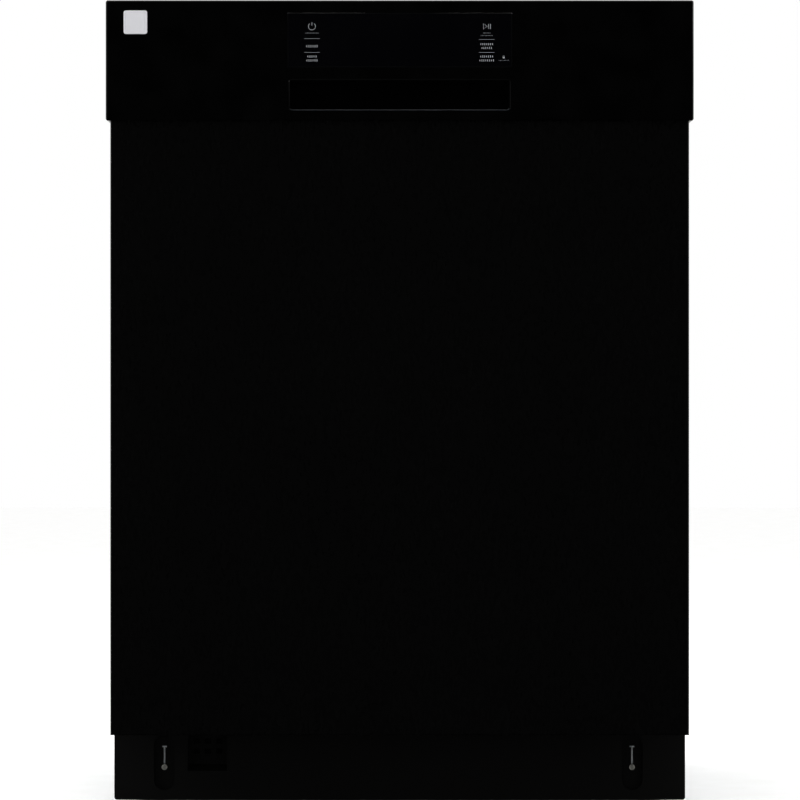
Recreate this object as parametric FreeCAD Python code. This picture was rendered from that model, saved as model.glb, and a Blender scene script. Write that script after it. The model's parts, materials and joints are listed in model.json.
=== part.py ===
"""Built-in dishwasher, 600 mm wide, front control console with a pocket handle.

Frame: +Z up, +X to the right seen from the front, front towards -Y. The origin lies on the floor,
under the centre of the machine's own box. All sizes are in millimetres.
Each node is written to parts/NODE.step as one or more closed solids.
"""

import FreeCAD, Part
import math
import os

Vector = FreeCAD.Vector
X_AXIS, Y_AXIS, Z_AXIS = Vector(1, 0, 0), Vector(0, 1, 0), Vector(0, 0, 1)

# ---------------------------------------------------------------- driving dimensions
HEIGHT = 825.0            # floor to the top of the console
FRONT, BACK = -310.0, 310.0

CONSOLE_HALF = 300.0      # half width of the console
CONSOLE_FRONT = FRONT + 1.0
CONSOLE_BOTTOM = 702.0
CONSOLE_WALL = 3.0

SKIN_HALF = 295.5         # painted outer door panel
SKIN_FRONT = CONSOLE_FRONT + 4.0
SKIN_BOTTOM = 74.7
SKIN_TOP = 709.0
SHEET = 1.0               # door sheet thickness

PIVOT_Y, PIVOT_Z = -270.0, 100.0          # door hinge axis, along X
LINER_BACK = -258.4                       # face of the inner door towards the tub
LINER_HALF = 288.0
LINER_BOTTOM, LINER_TOP = 116.0, 815.0

TUB_HALF = 282.0                          # inner half width
TUB_WALL = 1.5
TUB_FLOOR, TUB_TOP = 130.0, 800.0
TUB_FRONT, TUB_REAR = -252.0, 284.0
TUB_CORNER = 40.0

KICK_FRONT = -234.0                       # toe kick, set back for the shoe and the opening door
KICK_HALF = 296.0
KICK_BOTTOM, KICK_TOP = 2.4, 84.0
KICK_SHEET = 1.2
KICK_SCREWS = (-244.2, 241.2)             # x of the two slots and their screws
KICK_SCREW_Z = 35.9
KICK_T_TOP = 58.0                         # top of the T-shaped slot above each screw
KICK_T_STEM, KICK_T_BAR = 1.7, 5.0        # widths of its stem and its bar

SUPPLY_X, SUPPLY_Z = -228.0, 42.0         # water supply spigot, reached through the back rail

RAIL_TOP = TUB_FLOOR + 6.0                # ledges that the lower rack rolls on
WIRE = 4.0

LOWER_HALF = 248.0                        # lower rack
LOWER_FRONT, LOWER_REAR = -214.0, 236.0
LOWER_WHEEL_R = 18.0
LOWER_FLOOR = RAIL_TOP + 2 * LOWER_WHEEL_R
LOWER_RIM = LOWER_FLOOR + 120.0

UPPER_HALF = 248.0                        # upper rack
UPPER_FRONT, UPPER_REAR = -236.0, 250.0
UPPER_FLOOR = 470.0
UPPER_RIM = 590.0
UPPER_WHEEL_R = 9.5
UPPER_WHEEL_Z = 536.0

ARM_Y = 30.0                              # all spray arms turn about the vertical line x = 0, y = ARM_Y
RUNNING = 0.05                            # radial clearance of a pin in its hole

os.makedirs("parts", exist_ok=True)


# ---------------------------------------------------------------- helpers
def box(x0, x1, y0, y1, z0, z1):
    """Axis-aligned block between two corners."""
    return Part.makeBox(x1 - x0, y1 - y0, z1 - z0, Vector(x0, y0, z0))


def rod(x, y, z, radius, length, axis=Z_AXIS):
    """Solid cylinder that starts at a point and runs along an axis."""
    return Part.makeCylinder(radius, length, Vector(x, y, z), axis)


def tube(x, y, z, outer, inner, length, axis=Z_AXIS):
    """Hollow cylinder, open at both ends."""
    return rod(x, y, z, outer, length, axis).cut(rod(x, y, z, inner, length, axis))


def fuse(shapes):
    """One solid from shapes that meet."""
    return shapes[0].multiFuse(shapes[1:]).removeSplitter()


def mirror_x(shape):
    """The same shape on the other side of the machine."""
    return shape.mirror(Vector(0, 0, 0), X_AXIS)


def both_sides(shapes):
    """The shapes with their mirror images."""
    return list(shapes) + [mirror_x(s) for s in shapes]


def round_edges(shape, radius, chosen):
    """Fillets the edges whose midpoint and direction the test accepts."""
    edges = []
    for edge in shape.Edges:
        middle = edge.valueAt((edge.FirstParameter + edge.LastParameter) / 2)
        run = edge.Vertexes[-1].Point.sub(edge.Vertexes[0].Point)
        if run.Length > 1e-6 and chosen(middle, run.normalize()):
            edges.append(edge)
    return shape.makeFillet(radius, edges)


def along(direction, axis):
    """True if a direction is parallel to an axis."""
    return abs(abs(direction.dot(axis)) - 1) < 1e-6


def cut_up(shape, cells):
    """The pieces of a shape inside each cell, so that a hollow moulding becomes simple solids."""
    return [solid for cell in cells for solid in shape.common(box(*cell)).Solids]


def obround(x, z0, z1, radius, y0, y1):
    """Upright slot shape with round ends, from z0 to z1, between two y planes."""
    depth = y1 - y0
    body = box(x - radius, x + radius, y0, y1, z0 + radius, z1 - radius)
    ends = [rod(x, y0, z, radius, depth, Y_AXIS) for z in (z0 + radius, z1 - radius)]
    return fuse([body] + ends)


def lattice(plane, u0, u1, v0, v1, base, columns, rows, wire=WIRE):
    """Welded grille of square wire: a rim with evenly spaced cross wires, as one solid.

    plane is "xy", "xz" or "yz"; base is the third coordinate of its lower face.
    """
    def corners(a0, a1, b0, b1):
        points = [(a0, b0), (a1, b0), (a1, b1), (a0, b1), (a0, b0)]
        if plane == "xy":
            return [Vector(a, b, base) for a, b in points]
        if plane == "xz":
            return [Vector(a, base, b) for a, b in points]
        return [Vector(base, a, b) for a, b in points]

    step_u = (u1 - u0 - wire) / columns
    step_v = (v1 - v0 - wire) / rows
    wires = [Part.makePolygon(corners(u0, u1, v0, v1))]
    for i in range(columns):
        for j in range(rows):
            a, b = u0 + wire + i * step_u, v0 + wire + j * step_v
            wires.append(Part.makePolygon(corners(a, a + step_u - wire, b, b + step_v - wire)))
    direction = {"xy": Z_AXIS, "xz": Y_AXIS, "yz": X_AXIS}[plane]
    return Part.makeFace(wires, "Part::FaceMakerBullseye").extrude(direction * wire)


def route(points, radius, bend=60.0):
    """Hose along a polyline whose corners are tangent arcs that trim each run by up to bend."""
    points = [Vector(*p) for p in points]
    edges, start = [], points[0]
    for before, corner, after in zip(points, points[1:], points[2:]):
        back, ahead = before.sub(corner), after.sub(corner)
        trim = min(0.45 * min(back.Length, ahead.Length), bend)
        enter = corner.add(Vector(back).normalize() * trim)
        leave = corner.add(Vector(ahead).normalize() * trim)
        turn = math.pi - back.getAngle(ahead)
        arc_radius = trim / math.tan(turn / 2)
        inward = Vector(back).normalize().add(Vector(ahead).normalize()).normalize()
        centre = corner.add(inward * math.hypot(trim, arc_radius))
        middle = centre.sub(inward * arc_radius)
        edges.append(Part.LineSegment(start, enter).toShape())
        edges.append(Part.Arc(enter, middle, leave).toShape())
        start = leave
    edges.append(Part.LineSegment(start, points[-1]).toShape())
    path = Part.Wire(edges)
    first = points[1].sub(points[0])
    profile = Part.Wire([Part.makeCircle(radius, points[0], first)])
    return path.makePipeShell([profile], True, False)


def save(node, solids):
    """Writes a node: every piece is checked, then the group is exported as separate solids."""
    pieces = []
    for shape in solids:
        pieces.extend(shape.Solids)
    for piece in pieces:
        if not piece.isValid() or piece.Volume <= 0:
            raise ValueError(f"{node} has a bad solid")
    whole = pieces[0] if len(pieces) == 1 else Part.makeCompound(pieces)
    whole.exportStep(f"parts/{node}.step")


# ---------------------------------------------------------------- tub and frame
def make_tub():
    """Stainless wrapper: two sides, top, rounded top corners and the back wall."""
    outer = TUB_HALF + TUB_WALL
    depth = TUB_REAR - TUB_FRONT
    corner_x, corner_z = TUB_HALF - TUB_CORNER, TUB_TOP - TUB_CORNER
    side = box(TUB_HALF, outer, TUB_FRONT, TUB_REAR, TUB_FLOOR, corner_z)
    inlet_side = mirror_x(side).cut(rod(-outer - 1, -60, 420, 18, TUB_WALL + 2, X_AXIS))
    top = box(-corner_x, corner_x, TUB_FRONT, TUB_REAR, TUB_TOP, TUB_TOP + TUB_WALL)
    ring = tube(corner_x, TUB_FRONT, corner_z, TUB_CORNER + TUB_WALL, TUB_CORNER, depth, Y_AXIS)
    quarter = ring.common(box(corner_x, outer, TUB_FRONT, TUB_REAR, corner_z, TUB_TOP + TUB_WALL))
    back = box(-outer, outer, TUB_REAR, TUB_REAR + TUB_WALL, TUB_FLOOR, TUB_TOP + TUB_WALL)
    back = round_edges(back, TUB_CORNER + TUB_WALL,
                       lambda m, d: along(d, Y_AXIS) and m.z > TUB_TOP)
    save("tub", [side, inlet_side, top, back] + both_sides([quarter]))


def make_tub_floor():
    """Tub bottom with the sump opening, the rolling ledges and the front sill."""
    outer = TUB_HALF + TUB_WALL
    plate = box(-outer, outer, TUB_FRONT, TUB_REAR + TUB_WALL, TUB_FLOOR - TUB_WALL, TUB_FLOOR)
    holes = [rod(0, 0, 100, 86, 60), rod(-190, -190, 100, 6, 60), rod(0, 276, 100, 7, 60)]
    holes += [rod(x, -112, 100, 5, 60) for x in (-14, 14)]
    for hole in holes:
        plate = plate.cut(hole)
    ledge = box(252, TUB_HALF - 0.5, TUB_FRONT + 6, TUB_REAR - 14, TUB_FLOOR, RAIL_TOP)
    ledge = round_edges(ledge, 3, lambda m, d: along(d, Y_AXIS) and m.z > TUB_FLOOR + 1 and m.x < 260)
    sill = box(-TUB_HALF + 0.5, TUB_HALF - 0.5, TUB_FRONT, TUB_FRONT + 6, TUB_FLOOR, TUB_FLOOR + 5)
    sill = round_edges(sill, 2, lambda m, d: along(d, X_AXIS) and m.z > TUB_FLOOR + 1)
    save("tub_floor", [plate, sill] + both_sides([ledge]))


def make_front_frame():
    """Steel frame round the tub mouth, with one ear each side that carries the door pivot."""
    inner, outer = TUB_HALF + TUB_WALL + 0.3, 292.0
    y0, y1 = TUB_FRONT, TUB_FRONT + 12
    post = box(inner, outer, y0, y1, 88, 812)
    head = box(-inner, inner, y0, y1, TUB_TOP + TUB_WALL + 0.3, 812)
    foot = box(-inner, inner, y0, y1, 104, TUB_FLOOR - TUB_WALL - 0.3)
    ear = fuse([box(278, 282, PIVOT_Y - 11, y0, 88, 112), box(278, 282, y0, y1, 88, 104)])
    ear = ear.cut(rod(277, PIVOT_Y, PIVOT_Z, 5 + RUNNING, 6, X_AXIS))
    ear = round_edges(ear, 10, lambda m, d: along(d, X_AXIS) and m.y < PIVOT_Y - 10)
    save("front_frame", [head, foot] + both_sides([post, ear]))


def make_gasket():
    """Door seal on the face of the frame: sides, top and the lower wiper."""
    y0, y1 = TUB_FRONT - 6, TUB_FRONT
    side = box(284.3, 290.3, y0, y1, 150, 807)
    top = box(-284.3, 284.3, y0, y1, 802, 807)
    wiper = box(-276, 276, y0, y1, 118, 124)
    sides = both_sides([round_edges(side, 2, lambda m, d: along(d, Z_AXIS) and m.y < y0 + 1)])
    rest = [round_edges(s, 2, lambda m, d: along(d, X_AXIS) and m.y < y0 + 1) for s in (top, wiper)]
    save("door_gasket", sides + rest)


def make_blanket():
    """Sound and heat blanket draped over the tub, in mats that meet, with a window for the inlet box."""
    y0, y1 = -224.0, 262.0
    outer = box(-292.5, 292.5, y0, y1, 140, 811)
    outer = round_edges(outer, 48, lambda m, d: along(d, Y_AXIS) and m.z > 800)
    inner = box(-284, 284, y0 - 1, y1 + 1, 120, 802)
    inner = round_edges(inner, 41, lambda m, d: along(d, Y_AXIS) and m.z > 800)
    arch = outer.cut(inner)
    fold, crown = 243.0, 762.0
    mats = [box(fold, 300, y0, y1, 140, crown), box(fold, 300, y0, y1, crown, 820),
            box(-fold, fold, y0, y1, crown, 820), box(-300, -fold, y0, y1, crown, 820),
            box(-300, -fold, y0, y1, 532, crown), box(-300, -fold, y0, -172, 140, 532),
            box(-300, -fold, 52, y1, 140, 532)]
    save("insulation_blanket", [arch.common(mat) for mat in mats])


def make_brackets():
    """Two angle brackets on top of the frame that screw up into the worktop."""
    foot = box(182, 218, -239.7, -238, 802, HEIGHT)
    tab = box(182, 218, -238, -206, HEIGHT - 1.7, HEIGHT)
    bracket = fuse([foot, tab]).cut(rod(200, -220, HEIGHT - 5, 2.5, 8))
    bracket = round_edges(bracket, 8, lambda m, d: along(d, Z_AXIS) and m.y > -207)
    save("mounting_brackets", both_sides([bracket]))


# ---------------------------------------------------------------- base
def make_base():
    """Galvanised base: rails, tray, leg blocks, toe kick posts and the drain spigot at the back."""
    side = box(280, 284, -224, 286, 20, 127).cut(rod(275, -60, 60, 9, 20, X_AXIS))
    back = box(-284, 284, 286, 288, 20, 127).cut(rod(-200, 280, 60, 10, 20, Y_AXIS))
    back = back.cut(rod(SUPPLY_X, 280, SUPPLY_Z, 15, 20, Y_AXIS))
    tray = box(-280, 280, -150, 286, 18, 20)
    for x in (-258, 258):
        tray = tray.cut(rod(x, 262, 10, 9, 20))
    brace = box(-280, 280, -224, -220, 84, 104)
    blocks = []
    for x in (-258, 258):
        for y in (-196, 262):
            block = box(x - 15, x + 15, y - 15, y + 15, 26, 46)
            blocks.append(block.cut(rod(x, y, 20, 6 + RUNNING, 40)))
    arms = both_sides([box(273, 280, y - 15, y + 15, 26, 46) for y in (-196, 262)])
    posts, rib_gap = [], 0.15
    for x in KICK_SCREWS:
        rib_z = KICK_T_TOP - rib_gap
        stem, bar = KICK_T_STEM / 2 - rib_gap, KICK_T_BAR / 2 - rib_gap
        post = fuse([box(x - 8, x + 8, -227.4, -224, 8, 104),
                     box(x - stem, x + stem, -228.9, -227.4, KICK_SCREW_Z + 4.5, rib_z),
                     box(x - bar, x + bar, -228.9, -227.4, rib_z - 1.2, rib_z)])
        posts.append(post.cut(rod(x, -230, KICK_SCREW_Z, 1.15, 10, Y_AXIS)))
    spigot = fuse([rod(-200, 284, 60, 9.5, 6, Y_AXIS), rod(-200, 288, 60, 14, 2, Y_AXIS),
                   rod(-200, 290, 60, 8, BACK - 290, Y_AXIS)])
    spigot = spigot.cut(rod(-200, 286, 60, 6, 30, Y_AXIS))
    save("base_frame", [back, tray, brace, spigot] + both_sides([side]) + posts + blocks + arms)


def make_legs():
    """Four levelling legs: round pad, hexagon and threaded rod."""
    places = {"front_left": (-258, -196), "front_right": (258, -196),
              "rear_left": (-258, 262), "rear_right": (258, 262)}
    for name, (x, y) in places.items():
        pad = rod(x, y, 0, 20, 6)
        pad = pad.makeFillet(2, [e for e in pad.Edges if e.BoundBox.ZMin > 5 and e.BoundBox.XLength > 30])
        points = [Vector(x + 10 * math.cos(math.radians(60 * i)),
                         y + 10 * math.sin(math.radians(60 * i)), 6) for i in range(7)]
        hexagon = Part.Face(Part.makePolygon(points)).extrude(Vector(0, 0, 8))
        screw = rod(x, y, 14, 6, 48)
        screw = screw.makeChamfer(1, [e for e in screw.Edges if e.BoundBox.ZMin > 61])
        save(f"leg_{name}", [fuse([pad, hexagon, screw])])


def make_toe_kick():
    """Painted kick plate with two pressed slots and a louvred air inlet."""
    y0, y1 = KICK_FRONT, KICK_FRONT + KICK_SHEET
    plate = box(-KICK_HALF, KICK_HALF, y0, y1, KICK_BOTTOM, KICK_TOP)
    plate = round_edges(plate, 3, lambda m, d: along(d, Y_AXIS) and m.z < 5)
    lip = box(-KICK_HALF + 2, KICK_HALF - 2, y1, y1 + 5, KICK_TOP - 1.2, KICK_TOP)
    parts, voids = [plate, lip], []
    slot_r, slot_low, slot_high = 10.8, 12.4, 69.5
    for x in KICK_SCREWS:
        parts.append(obround(x, slot_low - 1.2, slot_high + 1.2, slot_r + 1.2, y0 + 0.2, y0 + 6.2))
        voids.append(obround(x, slot_low, slot_high, slot_r, y0 - 1, y0 + 5))
        stem, bar = KICK_T_STEM / 2, KICK_T_BAR / 2
        voids.append(rod(x, y0, KICK_SCREW_Z, 1.2, 9, Y_AXIS))
        voids.append(box(x - stem, x + stem, y0, y0 + 9, KICK_SCREW_Z, KICK_T_TOP))
        voids.append(box(x - bar, x + bar, y0, y0 + 9, KICK_T_TOP - 1.6, KICK_T_TOP))
    vent_left, vent_right, vent_low, vent_high = -219.8, -179.2, 38.4, 80.0
    vent_depth, skin, sill = 12.0, 1.2, 6.2

    def pocket(grow, front):
        """Prism of the air inlet with its sloping sill, grown by a wall thickness."""
        profile = [(front, vent_low - sill - grow), (y0 + vent_depth + grow, vent_low - grow),
                   (y0 + vent_depth + grow, vent_high + grow), (front, vent_high + grow)]
        points = [Vector(vent_left - grow, y, z) for y, z in profile + profile[:1]]
        return Part.Face(Part.makePolygon(points)).extrude(Vector(vent_right - vent_left + 2 * grow, 0, 0))

    parts.append(pocket(skin, y0 + 0.2))
    voids.append(pocket(0, y0 - 0.1))
    hole, pitch_x, pitch_z = 6.8, 11.7, 10.4
    middle = (vent_left + vent_right) / 2
    for column in (-1, 0, 1):
        for row in range(3):
            x, z = middle + column * pitch_x, vent_low + 10.5 + row * pitch_z
            voids.append(box(x - hole / 2, x + hole / 2, y0 + vent_depth - 1, y0 + vent_depth + 3,
                             z, z + hole - 1))
    kick = fuse(parts)
    for void in voids:
        kick = kick.cut(void)
    save("toe_kick", [kick])


def make_kick_screws():
    """Two cross-head screws that hold the toe kick at the foot of its slots."""
    screws = []
    for x in KICK_SCREWS:
        seat = KICK_FRONT + 5
        head = rod(x, seat - 2.4, KICK_SCREW_Z, 3.0, 2.4, Y_AXIS)
        head = head.makeFillet(1.0, [e for e in head.Edges if e.BoundBox.YMax < seat - 2])
        for size in ((1.9, 0.55), (0.55, 1.9)):
            head = head.cut(box(x - size[0], x + size[0], seat - 3, seat - 1.2,
                                KICK_SCREW_Z - size[1], KICK_SCREW_Z + size[1]))
        screws.append(fuse([head, rod(x, seat, KICK_SCREW_Z, 1.1, 10, Y_AXIS)]))
    save("kick_screws", screws)


# ---------------------------------------------------------------- water works
SUMP_Z0, SUMP_Z1 = 62.0, TUB_FLOOR - TUB_WALL
FILTER_X, FILTER_Y = 0.0, -38.0
PUMP_Z = 84.0


def make_sump():
    """Moulded sump under the floor, its ports and the post that feeds the lower arm."""
    bowl = rod(0, 0, SUMP_Z0, 80, SUMP_Z1 - SUMP_Z0)
    flange = rod(0, 0, SUMP_Z1 - 3, 96, 3)
    ports = [rod(70, 0, PUMP_Z, 19, 29.8, X_AXIS), rod(-94.8, 40, PUMP_Z - 6, 12, 34, X_AXIS)]
    body = fuse([bowl] + ports)
    body = body.cut(rod(0, 0, SUMP_Z0 + 3, 77, 80))
    flange = flange.cut(rod(0, 0, SUMP_Z0 + 3, 80, 80))
    body = body.cut(rod(60, 0, PUMP_Z, 16, 45, X_AXIS)).cut(rod(-100, 40, PUMP_Z - 6, 9, 50, X_AXIS))
    post = tube(0, ARM_Y, SUMP_Z0 + 3, 12, 9, 145 - SUMP_Z0 - 3)
    save("sump", [body, flange, post])


def make_filters():
    """Flat filter plate in the floor, and the cylindrical filter that twists out of it."""
    plate = rod(0, 0, TUB_FLOOR - 1, 85.5, 1.5)
    plate = plate.cut(rod(0, ARM_Y, 120, 12.4, 20)).cut(rod(FILTER_X, FILTER_Y, 120, 31, 20))
    rim = tube(FILTER_X, FILTER_Y, TUB_FLOOR + 0.5, 36, 31, 1.5)
    save("filter_plate", [plate, rim])
    low = SUMP_Z0 + 6
    cup = tube(FILTER_X, FILTER_Y, low, 30, 27.5, TUB_FLOOR + 2 - low)
    base = rod(FILTER_X, FILTER_Y, low, 30, 2)
    bridge = box(FILTER_X - 28.5, FILTER_X + 28.5, FILTER_Y - 3, FILTER_Y + 3, TUB_FLOOR - 6, TUB_FLOOR + 12)
    bridge = round_edges(bridge, 2, lambda m, d: along(d, X_AXIS) and m.z > TUB_FLOOR)
    core = tube(FILTER_X, FILTER_Y, low + 2, 12, 10, TUB_FLOOR - 8 - low)
    save("filter_cylinder", [fuse([cup, base, bridge, core])])


def make_float():
    """Overfill float: a dome on a stem that lifts when the water is too high."""
    dome = rod(-190, -190, TUB_FLOOR + 1, 19, 16)
    dome = dome.makeFillet(7, [e for e in dome.Edges if e.BoundBox.ZMin > TUB_FLOOR + 10])
    save("float", [fuse([dome, rod(-190, -190, 98, 4, TUB_FLOOR + 1 - 98)])])


def make_heater():
    """Heating element: one bent tube that lies round the sump, with its two legs through the floor."""
    radius, tube_r, z = 112.0, 3.5, TUB_FLOOR + 7
    gap = math.degrees(math.asin(14 / radius))
    loop = Part.makeTorus(radius, tube_r, Vector(0, 0, z), Z_AXIS, -180, 180, 360 - 2 * gap)
    loop.rotate(Vector(0, 0, 0), Z_AXIS, -90 + gap)
    end_y = -radius * math.cos(math.radians(gap))
    legs = []
    for x in (-14, 14):
        legs.append(Part.makeSphere(tube_r, Vector(x, end_y, z)))
        legs.append(rod(x, end_y, z - 30, tube_r, 30))
    save("heating_element", [fuse([loop] + legs)])


def make_wash_pump():
    """Circulation pump: volute and motor casing, with the rotor that turns inside."""
    volute = fuse([rod(100, 0, PUMP_Z, 36, 48, X_AXIS), rod(148, 0, PUMP_Z, 33, 92, X_AXIS),
                   rod(124, 0, PUMP_Z, 11, 48, Y_AXIS)])
    cavity = fuse([rod(103, 0, PUMP_Z, 33, 42, X_AXIS), rod(145, 0, PUMP_Z, 30, 92, X_AXIS)])
    casing = volute.cut(cavity).cut(rod(99, 0, PUMP_Z, 16, 6, X_AXIS))
    casing = casing.cut(rod(124, 20, PUMP_Z, 8, 40, Y_AXIS))
    casing = casing.cut(rod(236, 0, PUMP_Z, 4 + RUNNING, 5, X_AXIS))
    feet = [box(x, x + 12, -20, 20, 20, 54) for x in (106, 210)]
    feet = [f.cut(rod(90, 0, PUMP_Z, 36, 160, X_AXIS)) for f in feet]
    save("wash_pump_housing", [casing] + feet)
    shaft = rod(106, 0, PUMP_Z, 4, 133, X_AXIS)
    disc = rod(110, 0, PUMP_Z, 28, 3, X_AXIS)
    magnet = rod(158, 0, PUMP_Z, 18, 62, X_AXIS)
    vanes = []
    for i in range(6):
        vane = box(112.5, 124, -1.2, 1.2, PUMP_Z + 3, PUMP_Z + 27)
        vane.rotate(Vector(0, 0, PUMP_Z), X_AXIS, 60 * i)
        vanes.append(vane)
    save("wash_rotor", [fuse([shaft, disc, magnet] + vanes)])


def make_drain_pump():
    """Drain pump: small casing beside the sump, with its rotor."""
    y, z = 40.0, PUMP_Z - 6
    casing = fuse([rod(-165, y, z, 24, 70, X_AXIS), rod(-118, y, z, 9.5, 44, Y_AXIS)])
    casing = casing.cut(rod(-162, y, z, 21, 64, X_AXIS)).cut(rod(-100, y, z, 9, 6, X_AXIS))
    casing = casing.cut(rod(-118, y + 10, z, 7, 40, Y_AXIS))
    casing = casing.cut(rod(-166, y, z, 3 + RUNNING, 5, X_AXIS))
    foot = box(-140, -124, y - 12, y + 12, 20, 70).cut(rod(-180, y, z, 24, 100, X_AXIS))
    save("drain_pump_housing", [casing, foot])
    blades = []
    for i in range(4):
        blade = box(-112, -100, y - 1, y + 1, z, z + 17)
        blade.rotate(Vector(0, y, z), X_AXIS, 90 * i)
        blades.append(blade)
    shaft = rod(-164.5, y, z, 3, 62.5, X_AXIS)
    save("drain_rotor", [fuse([shaft, rod(-154, y, z, 14, 36, X_AXIS)] + blades)])


def make_inlet():
    """Water inlet valve with its supply spigot, and the inlet box on the side of the tub."""
    body = round_edges(box(-238, -196, -204, -164, 30, 76), 4, lambda m, d: along(d, Z_AXIS))
    coil = rod(-217, -184, 76, 14, 22)
    supply = rod(SUPPLY_X, -164, SUPPLY_Z, 8, 24, Y_AXIS)
    outlet = rod(-206, -164, 60, 5, 14, Y_AXIS)
    bore = rod(SUPPLY_X, -172, SUPPLY_Z, 5.5, 40, Y_AXIS)
    strap = box(-280, -238, -190, -180, 50, 54)
    save("inlet_valve", [fuse([body, coil, supply, outlet, strap]).cut(bore)])
    case = box(-297, -284.3, -160, 40, 160, 520)
    case = round_edges(case, 14, lambda m, d: along(d, X_AXIS))
    case = round_edges(case, 2, lambda m, d: m.x < -296.9)
    ribs = [box(-297.8, -296.8, -140, 20, z, z + 3) for z in range(200, 500, 40)]
    nozzle = rod(-284.4, -60, 420, 17.5, 8, X_AXIS)
    nut = rod(-281.9, -60, 420, 22, 5, X_AXIS)
    port = rod(-290.6, -60, 146, 5, 16)
    save("water_inlet_box", [fuse([case, nozzle, nut, port] + ribs)])


def make_hoses():
    """Moulded hoses between the inlet box, the valve, the pumps and the feed pipe."""
    feed = route([(124, 48, PUMP_Z), (124, 190, PUMP_Z), (60, 262, 66), (0, 276, 70), (0, 276, 127)], 7)
    drain = route([(-118, 84, 78), (-118, 170, 78), (-200, 215, 60), (-200, 284, 60)], 7)
    fill = route([(-290.6, -60, 146), (-290.6, -60, 60), (-206, -60, 60), (-206, -150, 60)], 5, 6.5)
    save("internal_hoses", [feed, drain, fill])


def make_feed_pipe():
    """Pipe up the back wall and along the ceiling that feeds the middle and top arms."""
    riser = box(-16, 16, 269, 283.5, 136, 798)
    foot = rod(0, 276, 127, 6.8, 9)
    ceiling = box(-16, 16, 16, 269, 786, 798)
    outlet = rod(0, ARM_Y, 774, 9, 12)
    riser = round_edges(riser, 4, lambda m, d: along(d, Z_AXIS) and m.y < 270)
    ceiling = round_edges(ceiling, 4, lambda m, d: along(d, Y_AXIS) and m.z < 790)
    dock = Part.makeCone(15, 11, 12, Vector(0, 269, 461), Vector(0, -1, 0))
    save("feed_pipe", [riser, ceiling, foot, outlet, dock])


# ---------------------------------------------------------------- spray arms
def spray_arm(radius, width, low, high, hub_radius, hub_low, hub_high, jets):
    """Flat arm of two blades with rounded tips and nozzles, which meet a round hub."""
    blade = box(-radius + width / 2, radius - width / 2, ARM_Y - width / 2, ARM_Y + width / 2, low, high)
    tips = [rod(x, ARM_Y, low, width / 2, high - low) for x in (-radius + width / 2, radius - width / 2)]
    hub = rod(0, ARM_Y, hub_low, hub_radius, hub_high - hub_low)
    arm = fuse([blade] + tips + [hub])
    arm = round_edges(arm, 2.5, lambda m, d: along(d, X_AXIS) and m.z > high - 0.5)
    for i in range(jets):
        for side in (-1, 1):
            x = side * (hub_radius + 18 + i * (radius - hub_radius - 40) / (jets - 1))
            arm = arm.cut(box(x - 3.5, x + 3.5, ARM_Y - 1, ARM_Y + 1, high - 1.5, high + 1))
    return [hub] + arm.cut(hub).Solids


def make_spray_arms():
    """Lower, middle and top arms."""
    lower = spray_arm(226, 44, 146, 160, 26, 138, 162, 7)
    socket = rod(0, ARM_Y, 134, 12 + RUNNING, 14)
    save("lower_spray_arm", [piece.cut(socket) for piece in lower])
    middle = spray_arm(208, 38, 442, 452, 17, 440, 457.5, 6)
    socket = rod(0, ARM_Y, 453.5, 9 + RUNNING, 10)
    save("mid_spray_arm", [piece.cut(socket) for piece in middle])
    upper = spray_arm(105, 32, 766, 776, 13, 764, 783, 4)
    socket = rod(0, ARM_Y, 773.5, 9 + RUNNING, 12)
    save("top_spray_arm", [piece.cut(socket) for piece in upper])
    neck = rod(0, ARM_Y, 454, 9, 14)
    duct = box(-11, 11, ARM_Y - 12, 250, 458, 469.6)
    duct = round_edges(duct, 3, lambda m, d: along(d, Y_AXIS))
    mouth = tube(0, 249, 461, 8.5, 6, 7, Y_AXIS)
    save("mid_feed_tube", [fuse([neck, duct]), mouth.cut(duct)])


# ---------------------------------------------------------------- racks
def basket(half, front, rear, floor, rim, columns, rows):
    """Five grilles that meet at their edges: floor, front, back and two sides."""
    height_rows = 3
    base = lattice("xy", -half, half, front, rear, floor, columns, rows)
    top = floor + WIRE
    ends = [lattice("xz", -half, half, top, rim, y, columns, height_rows) for y in (front, rear - WIRE)]
    sides = [lattice("yz", front + WIRE, rear - WIRE, top, rim, x, rows, height_rows)
             for x in (-half, half - WIRE)]
    return [base] + ends + sides


def fixed_tines(x, y0, y1, count, low, high, radius=1.9):
    """A row of upright tines that stand on the rack floor, front to back."""
    step = (y1 - y0) / (count - 1)
    return [rod(x, y0 + i * step, low, radius, high - low) for i in range(count)]


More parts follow.
